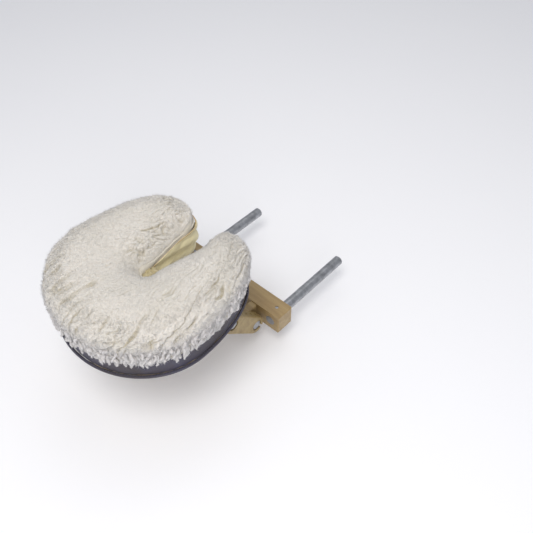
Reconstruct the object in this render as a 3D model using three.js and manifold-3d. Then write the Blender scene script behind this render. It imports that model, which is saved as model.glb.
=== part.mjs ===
// Face cradle cushion: fleece cover, crescent pad and the wooden cradle that carries them.
// Millimetres. +Z is up, +Y points at the table, +X is the right side seen from the head end.
// The origin is midway between the two posts, on the crossbar's rear face.
import * as THREE from 'three';
import { mergeVertices } from 'three/addons/utils/BufferGeometryUtils.js';
import Module from 'manifold-3d';

const wasm = await Module();
wasm.setup();

// General clearances
const GAP = 0.3;
const OVERCUT = 1;

// Pad plan, measured from the pad's centre
const PAD_HALF_WIDTH = 139;
const PAD_WIDEST_Y = -42;
const PAD_HEAD_DEPTH = 123;
const PAD_REACH = 110;
const PAD_TIP_X = 66;
const PAD_TIP_CORNER = 30;
const PAD_GAP_HALF = 34;
const PAD_HOLE_HALF = 47;
const PAD_HOLE_Y = -22;
const PAD_HOLE_DEPTH = 44;

// Pad layers
const VINYL = 1.2;
const WELT = 4;
const WELT_EDGE = 1.2;
const BOARD_THICKNESS = 9;
const FIRM_FOAM_THICKNESS = 30;
const SOFT_FOAM_THICKNESS = 28;

// Fleece cover
const PILE_SIDE = 7;
const PILE_TOP = 30;
const CROWN_INSET = 26;
const CROWN_RISE = 30;
const CROWN_STEPS = 4;
const SKIRT_DROP = 32;
const FACE_SAG = 25;
const SLIT_GAP_HALF = 24;
const SLIT_END_HALF = 7;
const SLIT_END_Y = -22;
const SLIT_END_DEPTH = 8;
const LINER = 1.2;
const LINER_TOP_BELOW_PAD = 3;
const LINER_LENGTH = 26;
const CASING_WIDTH = 5;
const CASING_HEIGHT = 6;
const CASING_WALL = 1;

// Hook and loop tape
const TAPE_WIDTH = 25;
const TAPE_LENGTH = 110;
const TAPE_THICKNESS = 1.5;
const TAPE_X = 92;
const TAPE_Y = -12;

// Platform and its brackets
const PLATFORM_THICKNESS = 12;
const PLATFORM_INSET = 10;
const PLATFORM_EDGE = 1.5;
const BRACKET_X = 66;
const BRACKET_THICKNESS = 16;
const BRACKET_DROP = 45;
const BRACKET_FRONT = 46;
const BRACKET_BACK = 26;
const BRACKET_FLANGE = 13;
const BRACKET_SCREW_FRONT = 34;
const BRACKET_SCREW_BACK = 14;
const BRACKET_SCREW_LENGTH = 30;
const TILT_AXIS_BEHIND_PAD_CENTRE = 60;

// Links
const LINK_LENGTH = 78;
const LINK_RISE_DEG = 44;
const LINK_THICKNESS = 20;
const END_RADIUS = 17.5;
const KERF = 6;
const WOOD_EDGE = 1.5;
const EDGE_HOLE_COUNT = 5;
const EDGE_HOLE_RADIUS = 2.2;
const EDGE_HOLE_DEPTH = 7;
const EDGE_HOLE_PITCH = 15;
const STRETCHER_RADIUS = 8;
const STRETCHER_SEAT = 8;

// Rods, nuts, washers
const ROD_RADIUS = 5;
const ROD_CLEARANCE = 0.3;
const ROD_END = 6;
const SPACER_THICKNESS = 1.5;
const SPACER_RADIUS = 13;
const WASHER_THICKNESS = 2;
const WASHER_RADIUS = 12;
const NUT_RADIUS = 9.2;
const NUT_THICKNESS = 6.5;
const NUT_SEAT_RADIUS = 10.5;
const NUT_SEAT_DEPTH = 8;

// Cam levers
const CAM_RADIUS = 11;
const CAM_THROW = 1.2;
const LEVER_LENGTH = 74;
const LEVER_WIDTH = 20;
const LEVER_ROOT_HALF = 6;
const LEVER_TIP_HALF = 3.5;
const LEVER_ANGLE_DEG = 226;
const PIN_RADIUS = 2.5;
const PIN_CLEARANCE = 0.3;

// Crossbar, ears and posts
const CROSSBAR_LENGTH = 250;
const CROSSBAR_DEPTH = 36;
const CROSSBAR_HEIGHT = 40;
const EAR_REACH = 24;
const EAR_SCREW_HEIGHT = 10;
const EAR_SCREW_LENGTH = 54;
const POST_SPACING = 210;
const POST_RADIUS = 9.5;
const POST_LENGTH = 165;
const POST_CHAMFER = 2;
const POST_PIN_RADIUS = 3;
const POST_PIN_END = 1;

// Screws
const SCREW_RADIUS = 2;
const SCREW_HEAD_RADIUS = 4;
const SCREW_HEAD_HEIGHT = 3;

// Worked-out places
const PAD_LAYERS = [VINYL, BOARD_THICKNESS, FIRM_FOAM_THICKNESS, SOFT_FOAM_THICKNESS, VINYL];
const PAD_THICKNESS = PAD_LAYERS.reduce((sum, layer) => sum + layer + GAP, -GAP);
const FOAM_EDGE = WELT + 4 * GAP;
const BOARD_Z = VINYL + GAP;
const FIRM_FOAM_Z = BOARD_Z + BOARD_THICKNESS + GAP;
const SOFT_FOAM_Z = FIRM_FOAM_Z + FIRM_FOAM_THICKNESS + GAP;
const LOOP_TAPE_Z = -GAP - TAPE_THICKNESS;
const HOOK_TAPE_Z = LOOP_TAPE_Z - GAP - TAPE_THICKNESS;
const PLATFORM_TOP_Z = HOOK_TAPE_Z - GAP;
const PLATFORM_Z = PLATFORM_TOP_Z - PLATFORM_THICKNESS;

const HEIGHT_AXIS = new THREE.Vector2(-CROSSBAR_DEPTH - EAR_REACH, 0);
const LINK_ANGLE = THREE.MathUtils.degToRad(180 - LINK_RISE_DEG);
const LINK_DIRECTION = new THREE.Vector2(Math.cos(LINK_ANGLE), Math.sin(LINK_ANGLE));
const TILT_AXIS = HEIGHT_AXIS.clone().addScaledVector(LINK_DIRECTION, LINK_LENGTH);
const PAD_CENTRE = new THREE.Vector3(
  0,
  TILT_AXIS.x - TILT_AXIS_BEHIND_PAD_CENTRE,
  TILT_AXIS.y + BRACKET_DROP - PLATFORM_Z,
);
const LINK_INNER_X = BRACKET_X + BRACKET_THICKNESS / 2 + GAP + SPACER_THICKNESS + GAP;
const LINK_OUTER_X = LINK_INNER_X + LINK_THICKNESS;
const WASHER_X = -LINK_OUTER_X - GAP - WASHER_THICKNESS;
const PIN_X = WASHER_X - GAP - CAM_RADIUS - CAM_THROW;
const NUT_FLOOR_X = LINK_OUTER_X - NUT_SEAT_DEPTH;
const leverAngle = THREE.MathUtils.degToRad(LEVER_ANGLE_DEG);

// Sides of round pieces, and points on each stretch of a plan outline
const FINE = 24;
const COARSE = 16;
const TINY = 8;
const HEAD_POINTS = 8;
const SIDE_POINTS = 7;
const HOLE_POINTS = 5; // odd, so that no point falls on the inner edge's inflection

// Materials
function surface(color, roughness, metalness = 0) {
  return new THREE.MeshStandardMaterial({ color, roughness, metalness });
}

const fleece = surface(0xd9d3c9, 0.95);
const creamCloth = surface(0xdcd09f, 0.85);
const elasticTape = surface(0xe6e2d8, 0.8);
const slateVinyl = surface(0x46444f, 0.5);
const foam = surface(0xd8c98f, 0.95);
const plywood = surface(0xc3a06a, 0.6);
const maple = surface(0xb8985f, 0.5);
const blackTape = surface(0x1d1d20, 0.9);
const steel = surface(0x9a9da2, 0.35, 0.9);
const nylon = surface(0xe0ded6, 0.5);
const blackPlastic = surface(0x18181a, 0.45);

// Solid tools
function toSolid(geometry) {
  const bare = geometry.clone();
  bare.deleteAttribute('normal');
  bare.deleteAttribute('uv');
  const merged = mergeVertices(bare, 1e-4);
  const mesh = new wasm.Mesh({
    numProp: 3,
    vertProperties: new Float32Array(merged.attributes.position.array),
    triVerts: new Uint32Array(merged.index.array),
  });
  return new wasm.Manifold(mesh);
}

function toGeometry(solid) {
  const mesh = solid.getMesh();
  const geometry = new THREE.BufferGeometry();
  geometry.setAttribute('position', new THREE.BufferAttribute(mesh.vertProperties, 3));
  geometry.setIndex(new THREE.BufferAttribute(mesh.triVerts, 1));
  geometry.computeVertexNormals();
  return geometry;
}

function cut(geometry, ...tools) {
  const solid = tools.reduce((rest, tool) => rest.subtract(toSolid(tool)), toSolid(geometry));
  return toGeometry(solid);
}

function join(...geometries) {
  const [first, ...others] = geometries.map(toSolid);
  return toGeometry(others.reduce((whole, solid) => whole.add(solid), first));
}

function common(geometry, tool) {
  return toGeometry(toSolid(geometry).intersect(toSolid(tool)));
}

// Plan outlines run anticlockwise, so a positive offset grows the solid.
function offset(points, distance, closed = true) {
  const last = points.length - 1;
  const edgeNormal = (from, to) => {
    const edge = to.clone().sub(from).normalize();
    return new THREE.Vector2(edge.y, -edge.x);
  };
  const normals = points.map((point, i) => edgeNormal(point, points[i === last ? 0 : i + 1]));
  return points.map((point, i) => {
    const before = normals[i > 0 ? i - 1 : closed ? last : 0];
    const after = normals[i < last || closed ? i : last - 1];
    const mitre = before.clone().add(after).normalize();
    return point.clone().addScaledVector(mitre, distance / mitre.dot(before));
  });
}

function outerEdge(plan) {
  const path = new THREE.Path();
  const rise = plan.reach - plan.widestY;
  path.moveTo(plan.halfWidth, plan.widestY);
  path.bezierCurveTo(
    plan.halfWidth, plan.widestY + 0.49 * rise,
    plan.tipX + 0.63 * (plan.halfWidth - plan.tipX), plan.reach,
    plan.tipX, plan.reach,
  );
  return path.getPoints(SIDE_POINTS);
}

function innerEdge(plan) {
  const path = new THREE.Path();
  const tipY = plan.reach - plan.tipCorner;
  const third = (tipY - plan.holeY) / 3;
  path.moveTo(plan.tipX, plan.reach);
  path.quadraticCurveTo(plan.gapHalf, plan.reach, plan.gapHalf, tipY);
  path.bezierCurveTo(
    plan.gapHalf, tipY - third,
    plan.holeHalf, plan.holeY + third,
    plan.holeHalf, plan.holeY,
  );
  path.absellipse(0, plan.holeY, plan.holeHalf, plan.holeDepth, 0, -Math.PI / 2, true);
  return path.getPoints(HOLE_POINTS);
}

function headEdge(plan) {
  const head = new THREE.EllipseCurve(
    0, plan.widestY, plan.halfWidth, plan.headDepth, -Math.PI / 2, 0, false,
  );
  return head.getPoints(HEAD_POINTS);
}

function withoutRepeats(points) {
  return points.filter((point, i) => {
    const next = points[(i + 1) % points.length];
    return point.distanceTo(next) > 1e-3;
  });
}

function horseshoe(plan) {
  const right = [...headEdge(plan), ...outerEdge(plan), ...innerEdge(plan)];
  const left = right.map((point) => new THREE.Vector2(-point.x, point.y)).reverse();
  return withoutRepeats([...right, ...left]);
}

const padPlan = {
  halfWidth: PAD_HALF_WIDTH,
  widestY: PAD_WIDEST_Y,
  headDepth: PAD_HEAD_DEPTH,
  reach: PAD_REACH,
  tipX: PAD_TIP_X,
  tipCorner: PAD_TIP_CORNER,
  gapHalf: PAD_GAP_HALF,
  holeHalf: PAD_HOLE_HALF,
  holeY: PAD_HOLE_Y,
  holeDepth: PAD_HOLE_DEPTH,
};

const coverPlan = {
  ...padPlan,
  halfWidth: PAD_HALF_WIDTH + PILE_SIDE,
  headDepth: PAD_HEAD_DEPTH + PILE_SIDE,
  reach: PAD_REACH + PILE_SIDE,
  tipCorner: PAD_TIP_CORNER + PILE_SIDE,
  gapHalf: SLIT_GAP_HALF,
  holeHalf: SLIT_END_HALF,
  holeY: SLIT_END_Y,
  holeDepth: SLIT_END_DEPTH,
};

const padOutline = horseshoe(padPlan);
const coverOutline = horseshoe(coverPlan);

// A flat layer between two heights, with optional holes and an optional rounded edge
function layer(outline, bottom, top, { holes = [], edge = 0, edgeRise = edge, steps = 1 } = {}) {
  const shape = new THREE.Shape(outline);
  shape.holes = holes.map((hole) => new THREE.Path(hole));
  const geometry = new THREE.ExtrudeGeometry(shape, {
    depth: top - bottom - 2 * edgeRise,
    bevelEnabled: edge > 0,
    bevelSize: edge,
    bevelOffset: -edge,
    bevelThickness: edgeRise,
    bevelSegments: steps,
  });
  return geometry.translate(0, 0, bottom + edgeRise);
}

// A slab whose side view is drawn in Y and Z and whose thickness runs along X
function slab(profile, thickness, edge = 0) {
  const standing = new THREE.Matrix4().makeBasis(
    new THREE.Vector3(0, 1, 0),
    new THREE.Vector3(0, 0, 1),
    new THREE.Vector3(1, 0, 0),
  );
  const flat = layer(profile.getPoints(COARSE / 2), -thickness / 2, thickness / 2, { edge });
  return flat.applyMatrix4(standing);
}

function box(width, depth, height, x = 0, y = 0, z = 0) {
  return new THREE.BoxGeometry(width, depth, height).translate(x, y, z);
}

function rodAlongX(radius, fromX, toX, axis = new THREE.Vector2(), sides = COARSE) {
  const rod = new THREE.CylinderGeometry(radius, radius, toX - fromX, sides);
  rod.rotateZ(Math.PI / 2);
  return rod.translate((fromX + toX) / 2, axis.x, axis.y);
}

function ringAlongX(inner, outer, fromX, toX, axis, sides = COARSE) {
  const hole = rodAlongX(inner, fromX - OVERCUT, toX + OVERCUT, axis, sides);
  return cut(rodAlongX(outer, fromX, toX, axis, sides), hole);
}

function lathe(pairs, sides = TINY) {
  return new THREE.LatheGeometry(pairs.map(([r, h]) => new THREE.Vector2(r, h)), sides);
}

// Countersunk screw with its head's top at the origin and its shank hanging down -Y, and its hole
function screw(length) {
  return lathe([
    [0, -length],
    [SCREW_RADIUS, -length + SCREW_RADIUS],
    [SCREW_RADIUS, -SCREW_HEAD_HEIGHT],
    [SCREW_HEAD_RADIUS, -GAP],
    [SCREW_HEAD_RADIUS, 0],
    [0, 0],
  ]);
}

function screwHole(length) {
  return lathe([
    [0, -length - GAP],
    [SCREW_RADIUS + GAP, -length - GAP],
    [SCREW_RADIUS + GAP, -SCREW_HEAD_HEIGHT - GAP],
    [SCREW_HEAD_RADIUS + GAP, -2 * GAP],
    [SCREW_HEAD_RADIUS + GAP, OVERCUT],
    [0, OVERCUT],
  ]);
}

const root = new THREE.Group();
root.name = 'face_cradle_cushion';

function add(parent, name, geometry, material) {
  const mesh = new THREE.Mesh(geometry, material);
  mesh.name = name;
  parent.add(mesh);
  return mesh;
}

const cushion = new THREE.Group();
cushion.position.copy(PAD_CENTRE);
root.add(cushion);

// Fleece cover
const skirtBottom = PAD_THICKNESS - SKIRT_DROP;
const pileTop = PAD_THICKNESS + PILE_TOP;

function faceHoleRegion() {
  const edge = innerEdge(padPlan).filter((point) => point.y <= PAD_REACH - PAD_TIP_CORNER);
  const far = PAD_REACH + PILE_SIDE + OVERCUT;
  const right = [new THREE.Vector2(PAD_GAP_HALF, far), ...edge];
  const left = right.map((point) => new THREE.Vector2(-point.x, point.y)).reverse();
  return withoutRepeats([...right, ...left]).reverse();
}

function fleeceCover() {
  const crown = layer(coverOutline, skirtBottom - CROWN_RISE, pileTop, {
    edge: CROWN_INSET,
    edgeRise: CROWN_RISE,
    steps: CROWN_STEPS,
  });
  const span = 4 * PAD_HALF_WIDTH;
  const below = box(span, span, 2 * CROWN_RISE, 0, 0, skirtBottom - CROWN_RISE);
  const padSpace = layer(offset(padOutline, GAP), skirtBottom - OVERCUT, PAD_THICKNESS + GAP);
  const faceSpace = layer(faceHoleRegion(), skirtBottom - OVERCUT, PAD_THICKNESS - FACE_SAG);
  return cut(crown, below, padSpace, faceSpace);
}

function slitEdge() {
  const straightTop = coverPlan.reach - coverPlan.tipCorner;
  const right = innerEdge(coverPlan).filter((point) => point.y <= straightTop + 1e-6);
  const left = right.map((point) => new THREE.Vector2(-point.x, point.y)).reverse();
  return withoutRepeats([...right, ...left]);
}

// A strip between two offsets of an open edge
function stripAlong(edge, near, far, bottom, top) {
  const strip = [...offset(edge, near, false), ...offset(edge, far, false).reverse()];
  const outline = THREE.ShapeUtils.area(strip) < 0 ? strip.reverse() : strip;
  return layer(outline, bottom, top);
}

function openingLiner() {
  const top = PAD_THICKNESS - LINER_TOP_BELOW_PAD;
  return stripAlong(slitEdge(), GAP, GAP + LINER, top - LINER_LENGTH, top);
}

// The hem runs round the outside, from one lobe tip to the other.
function hemEdge() {
  const right = [...headEdge(padPlan), ...outerEdge(padPlan)];
  const left = right.map((point) => new THREE.Vector2(-point.x, point.y)).reverse();
  return withoutRepeats([...left, ...right]).filter((point) => point.y < PAD_REACH - 1e-6);
}

const casingTop = skirtBottom - GAP;
const casingBottom = casingTop - CASING_HEIGHT;

function hemCasing() {
  const near = 2 * GAP;
  const far = near + CASING_WIDTH;
  const whole = stripAlong(hemEdge(), near, far, casingBottom, casingTop);
  const groove = stripAlong(
    hemEdge(), near + CASING_WALL, far - CASING_WALL,
    casingBottom + CASING_WALL, casingTop + OVERCUT,
  );
  return cut(whole, groove);
}

function hemElastic() {
  const near = 3 * GAP + CASING_WALL;
  const far = near + CASING_WIDTH - 2 * CASING_WALL - 2 * GAP;
  return stripAlong(hemEdge(), near, far, casingBottom + CASING_WALL + GAP, casingTop - GAP);
}

add(cushion, 'fleece_cover', fleeceCover(), fleece);
add(cushion, 'opening_liner', openingLiner(), creamCloth);
add(cushion, 'hem_casing', hemCasing(), creamCloth);
add(cushion, 'hem_elastic', hemElastic(), elasticTape);

// Vinyl shell of the pad
const panelOutline = offset(padOutline, -WELT - GAP);

function welt(bottom) {
  return layer(padOutline, bottom, bottom + WELT, {
    holes: [offset(padOutline, -WELT)],
    edge: WELT_EDGE,
  });
}

function boxing() {
  return layer(padOutline, WELT + GAP, PAD_THICKNESS - WELT - GAP, {
    holes: [offset(padOutline, -VINYL)],
  });
}

// The strip between the lobe tips that faces the opening
function innerSide(margin) {
  const back = -(PAD_HEAD_DEPTH - PAD_WIDEST_Y - PAD_HOLE_Y + PAD_HOLE_DEPTH) / 2;
  const front = PAD_REACH + OVERCUT;
  const width = 2 * (PAD_TIP_X - margin);
  return box(width, front - back, 2 * PAD_THICKNESS, 0, (front + back) / 2, PAD_THICKNESS / 2);
}

add(cushion, 'top_panel', layer(panelOutline, PAD_THICKNESS - VINYL, PAD_THICKNESS), slateVinyl);
add(cushion, 'bottom_panel', layer(panelOutline, 0, VINYL), slateVinyl);
add(cushion, 'outer_boxing', cut(boxing(), innerSide(0)), slateVinyl);
add(cushion, 'inner_boxing', common(boxing(), innerSide(GAP)), slateVinyl);
add(cushion, 'top_welt', welt(PAD_THICKNESS - WELT), slateVinyl);
add(cushion, 'bottom_welt', welt(0), slateVinyl);

// Inside the pad
function foamLayer(bottom, thickness) {
  const outline = offset(padOutline, -VINYL - GAP);
  return layer(outline, bottom, bottom + thickness, { edge: FOAM_EDGE });
}

add(cushion, 'base_board', layer(panelOutline, BOARD_Z, BOARD_Z + BOARD_THICKNESS), plywood);
add(cushion, 'firm_foam', foamLayer(FIRM_FOAM_Z, FIRM_FOAM_THICKNESS), foam);
add(cushion, 'soft_foam', foamLayer(SOFT_FOAM_Z, SOFT_FOAM_THICKNESS), foam);

const SIDES = [['left', -1], ['right', 1]];

function tape(side, bottom) {
  const middle = bottom + TAPE_THICKNESS / 2;
  return box(TAPE_WIDTH, TAPE_LENGTH, TAPE_THICKNESS, side * TAPE_X, TAPE_Y, middle);
}

for (const [word, side] of SIDES) {
  add(cushion, `loop_strip_${word}`, tape(side, LOOP_TAPE_Z), blackTape);
  add(cushion, `hook_strip_${word}`, tape(side, HOOK_TAPE_Z), blackTape);
}

// Platform
const tiltAxisInPad = TILT_AXIS.x - PAD_CENTRE.y;

// Name and geometry of the four screws, or of their holes
function bracketScrews(make) {
  const places = [['front', -BRACKET_SCREW_FRONT], ['back', BRACKET_SCREW_BACK]];
  return SIDES.flatMap(([word, side]) => places.map(([end, along]) => {
    const piece = make(BRACKET_SCREW_LENGTH).rotateX(Math.PI / 2);
    piece.translate(side * BRACKET_X, tiltAxisInPad + along, PLATFORM_TOP_Z);
    return [`bracket_screw_${word}_${end}`, piece];
  }));
}

const bracketScrewHoles = bracketScrews(screwHole).map(([, hole]) => hole);

function platformBoard() {
  const board = layer(offset(padOutline, -PLATFORM_INSET), PLATFORM_Z, PLATFORM_TOP_Z, {
    edge: PLATFORM_EDGE,
  });
  return cut(board, ...bracketScrewHoles);
}

function bracket(side) {
  const top = BRACKET_DROP - GAP;
  const shoulder = top - BRACKET_FLANGE;
  const profile = new THREE.Shape();
  profile.moveTo(-BRACKET_FRONT, top);
  profile.lineTo(-BRACKET_FRONT, shoulder);
  profile.quadraticCurveTo(-END_RADIUS, shoulder - GAP, -END_RADIUS, 0);
  profile.absarc(0, 0, END_RADIUS, Math.PI, 2 * Math.PI, false);
  profile.quadraticCurveTo(END_RADIUS, shoulder - GAP, BRACKET_BACK, shoulder);
  profile.lineTo(BRACKET_BACK, top);
  const block = slab(profile, BRACKET_THICKNESS, WOOD_EDGE);
  block.translate(side * BRACKET_X, tiltAxisInPad, PLATFORM_Z - BRACKET_DROP);
  const axis = new THREE.Vector2(tiltAxisInPad, PLATFORM_Z - BRACKET_DROP);
  const bore = rodAlongX(ROD_RADIUS + ROD_CLEARANCE, -LINK_OUTER_X, LINK_OUTER_X, axis);
  return cut(block, bore, ...bracketScrewHoles);
}

add(cushion, 'platform_board', platformBoard(), plywood);
for (const [word, side] of SIDES) {
  add(cushion, `bracket_${word}`, bracket(side), maple);
}
for (const [name, piece] of bracketScrews(screw)) {
  add(cushion, name, piece, steel);
}

// Links, drawn along +Y from the height axis at 0 to the tilt axis at LINK_LENGTH
const links = new THREE.Group();
links.position.set(0, HEIGHT_AXIS.x, HEIGHT_AXIS.y);
links.rotation.x = LINK_ANGLE;
root.add(links);

const LINK_FAR = new THREE.Vector2(LINK_LENGTH, 0);
const LINK_NEAR = new THREE.Vector2(0, 0);
const LINK_MIDDLE = new THREE.Vector2(LINK_LENGTH / 2, 0);

function stadium(length, radius) {
  const profile = new THREE.Shape();
  profile.absarc(0, 0, radius, Math.PI / 2, 1.5 * Math.PI, false);
  profile.absarc(length, 0, radius, -Math.PI / 2, Math.PI / 2, false);
  return profile;
}

function link(side) {
  const middleX = side * (LINK_INNER_X + LINK_THICKNESS / 2);
  const bar = slab(stadium(LINK_LENGTH, END_RADIUS), LINK_THICKNESS, WOOD_EDGE);
  bar.translate(middleX, 0, 0);
  const ends = [LINK_NEAR, LINK_FAR];
  const reach = LINK_OUTER_X + OVERCUT;
  const cuts = ends.map((axis) => rodAlongX(ROD_RADIUS + ROD_CLEARANCE, -reach, reach, axis));
  const kerfLength = END_RADIUS + OVERCUT;
  const wide = LINK_THICKNESS + 2 * OVERCUT;
  cuts.push(box(wide, kerfLength, KERF, middleX, LINK_LENGTH + kerfLength / 2, 0));
  cuts.push(box(wide, kerfLength, KERF, middleX, -kerfLength / 2, 0));
  if (side > 0) {
    cuts.push(...ends.map((axis) => rodAlongX(NUT_SEAT_RADIUS, NUT_FLOOR_X, reach, axis)));
  }
  const seat = LINK_INNER_X + STRETCHER_SEAT + GAP;
  cuts.push(rodAlongX(STRETCHER_RADIUS + GAP, -seat, seat, LINK_MIDDLE));
  for (let i = 0; i < EDGE_HOLE_COUNT; i += 1) {
    const along = LINK_LENGTH / 2 + (i - (EDGE_HOLE_COUNT - 1) / 2) * EDGE_HOLE_PITCH;
    const hole = new THREE.CylinderGeometry(
      EDGE_HOLE_RADIUS, EDGE_HOLE_RADIUS, EDGE_HOLE_DEPTH + OVERCUT, TINY,
    );
    hole.rotateX(Math.PI / 2);
    const middleZ = -END_RADIUS + (EDGE_HOLE_DEPTH - OVERCUT) / 2;
    cuts.push(hole.translate(middleX, along, middleZ));
  }
  return cut(bar, ...cuts);
}

// Rod with a nut end on the right and a cross-drilled lever end on the left
function leverRod(axis) {
  const rod = rodAlongX(ROD_RADIUS, PIN_X - ROD_END, NUT_FLOOR_X + GAP + NUT_THICKNESS, axis);
  const drill = crossPin(PIN_RADIUS + PIN_CLEARANCE, 4 * ROD_RADIUS, axis);
  return cut(rod, drill);
}

// Cylinder across the rod at its lever end, square to the rod and to the closed lever
function crossPin(radius, length, axis) {
  const pin = new THREE.CylinderGeometry(radius, radius, length, TINY);
  pin.rotateX(leverAngle + Math.PI / 2);
  return pin.translate(PIN_X, axis.x, axis.y);
}

function nut(axis) {
  const from = NUT_FLOOR_X + GAP;
  const bore = ROD_RADIUS + ROD_CLEARANCE;
  const blank = rodAlongX(NUT_RADIUS, from, from + NUT_THICKNESS, axis, 6);
  return cut(blank, rodAlongX(bore, from - OVERCUT, from + NUT_THICKNESS + OVERCUT, axis));
}

function camWasher(axis) {
  const bore = ROD_RADIUS + ROD_CLEARANCE;
  return ringAlongX(bore, WASHER_RADIUS, WASHER_X, WASHER_X + WASHER_THICKNESS, axis);
}

function frictionDisc(axis, side) {
  const bore = ROD_RADIUS + ROD_CLEARANCE;
  const middle = side * (LINK_INNER_X - GAP - SPACER_THICKNESS / 2);
  const from = middle - SPACER_THICKNESS / 2;
  return ringAlongX(bore, SPACER_RADIUS, from, from + SPACER_THICKNESS, axis);
}

// Cam lever, drawn with its pin along Z, its handle along +X and the rod coming from -Y
function lever() {
  const head = new THREE.CylinderGeometry(CAM_RADIUS, CAM_RADIUS, LEVER_WIDTH, FINE);
  head.rotateX(Math.PI / 2).translate(0, -CAM_THROW, 0);
  const profile = new THREE.Shape();
  const tip = LEVER_LENGTH - LEVER_TIP_HALF;
  profile.moveTo(0, -LEVER_ROOT_HALF);
  profile.quadraticCurveTo(LEVER_LENGTH / 2, -LEVER_TIP_HALF, tip, -LEVER_TIP_HALF);
  profile.absarc(tip, 0, LEVER_TIP_HALF, -Math.PI / 2, Math.PI / 2, false);
  profile.quadraticCurveTo(LEVER_LENGTH / 2, LEVER_TIP_HALF, 0, LEVER_ROOT_HALF);
  const handle = layer(profile.getPoints(TINY), -LEVER_WIDTH / 2, LEVER_WIDTH / 2, {
    edge: WOOD_EDGE,
  });
  const slotWidth = 2 * (ROD_RADIUS + GAP);
  const slotReach = Math.hypot(ROD_END, ROD_RADIUS) + GAP;
  const slotSpan = slotReach + 2 * CAM_RADIUS;
  const slotMiddle = slotReach - slotSpan / 2;
  const slot = box(slotSpan, slotSpan, slotWidth, slotMiddle, slotMiddle, 0);
  const bore = new THREE.CylinderGeometry(
    PIN_RADIUS + PIN_CLEARANCE, PIN_RADIUS + PIN_CLEARANCE, 2 * LEVER_WIDTH, TINY,
  );
  bore.rotateX(Math.PI / 2);
  return cut(join(head, handle), slot, bore);
}

// The handle points along an angle in Y and Z, and the back of the cam points along -X.
function placeLever(mesh, axis) {
  const handle = new THREE.Vector3(0, Math.cos(leverAngle), Math.sin(leverAngle));
  const outward = new THREE.Vector3(-1, 0, 0);
  const pin = handle.clone().cross(outward);
  mesh.rotation.setFromRotationMatrix(new THREE.Matrix4().makeBasis(handle, outward, pin));
  mesh.position.set(PIN_X, axis.x, axis.y);
}

const stretcherEnd = LINK_INNER_X + STRETCHER_SEAT;

for (const [word, side] of SIDES) {
  add(links, `link_${word}`, link(side), maple);
}
const stretcher = rodAlongX(STRETCHER_RADIUS, -stretcherEnd, stretcherEnd, LINK_MIDDLE);
add(links, 'link_stretcher', stretcher, maple);

// Everything on a rod: the rod, its nut, its washer, two friction discs, cross pin and cam lever
function rodSet(word, axis) {
  const pinLength = LEVER_WIDTH - 2 * GAP;
  add(root, `${word}_rod`, leverRod(axis), steel);
  add(root, `${word}_nut`, nut(axis), steel);
  add(root, `${word}_cam_washer`, camWasher(axis), steel);
  for (const [hand, side] of SIDES) {
    add(root, `${word}_friction_disc_${hand}`, frictionDisc(axis, side), nylon);
  }
  add(root, `${word}_lever_pin`, crossPin(PIN_RADIUS, pinLength, axis), steel);
  placeLever(add(root, `${word}_lever`, lever(), blackPlastic), axis);
}

rodSet('tilt', TILT_AXIS);
rodSet('height', HEIGHT_AXIS);

// Crossbar, ears and posts
function earScrews(make) {
  const places = [['lower', -EAR_SCREW_HEIGHT], ['upper', EAR_SCREW_HEIGHT]];
  return SIDES.flatMap(([word, side]) => places.map(([end, height]) => {
    const piece = make(EAR_SCREW_LENGTH).translate(side * BRACKET_X, 0, height);
    return [`ear_screw_${word}_${end}`, piece];
  }));
}

const earScrewHoles = earScrews(screwHole).map(([, hole]) => hole);

function postPin(side, radius, end) {
  const pin = new THREE.CylinderGeometry(radius, radius, CROSSBAR_HEIGHT - 2 * end, TINY);
  return pin.rotateX(Math.PI / 2).translate(side * POST_SPACING / 2, -CROSSBAR_DEPTH / 2, 0);
}

function crossbar() {
  const half = CROSSBAR_HEIGHT / 2;
  const profile = new THREE.Shape([
    new THREE.Vector2(-CROSSBAR_DEPTH, -half),
    new THREE.Vector2(0, -half),
    new THREE.Vector2(0, half),
    new THREE.Vector2(-CROSSBAR_DEPTH, half),
  ]);
  const bar = slab(profile, CROSSBAR_LENGTH, WOOD_EDGE);
  const sockets = SIDES.map(([, side]) => {
    const socket = new THREE.CylinderGeometry(
      POST_RADIUS + GAP, POST_RADIUS + GAP, CROSSBAR_DEPTH + 2 * OVERCUT, FINE,
    );
    return socket.translate(side * POST_SPACING / 2, -CROSSBAR_DEPTH / 2, 0);
  });
  const pinHoles = SIDES.map(([, side]) => postPin(side, POST_PIN_RADIUS + GAP, -OVERCUT));
  return cut(bar, ...sockets, ...pinHoles, ...earScrewHoles);
}

function ear(side) {
  const length = EAR_REACH - GAP;
  const profile = new THREE.Shape();
  profile.absarc(0, 0, END_RADIUS, Math.PI / 2, 1.5 * Math.PI, false);
  profile.lineTo(length, -END_RADIUS);
  profile.lineTo(length, END_RADIUS);
  const block = slab(profile, BRACKET_THICKNESS, WOOD_EDGE);
  block.translate(side * BRACKET_X, HEIGHT_AXIS.x, HEIGHT_AXIS.y);
  const bore = rodAlongX(ROD_RADIUS + ROD_CLEARANCE, -LINK_OUTER_X, LINK_OUTER_X, HEIGHT_AXIS);
  return cut(block, bore, ...earScrewHoles);
}

function post(side) {
  const turned = lathe([
    [0, -CROSSBAR_DEPTH],
    [POST_RADIUS, -CROSSBAR_DEPTH],
    [POST_RADIUS, POST_LENGTH - POST_CHAMFER],
    [POST_RADIUS - POST_CHAMFER, POST_LENGTH],
    [0, POST_LENGTH],
  ], FINE);
  turned.translate(side * POST_SPACING / 2, 0, 0);
  return cut(turned, postPin(side, POST_PIN_RADIUS + GAP, -OVERCUT));
}

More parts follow.
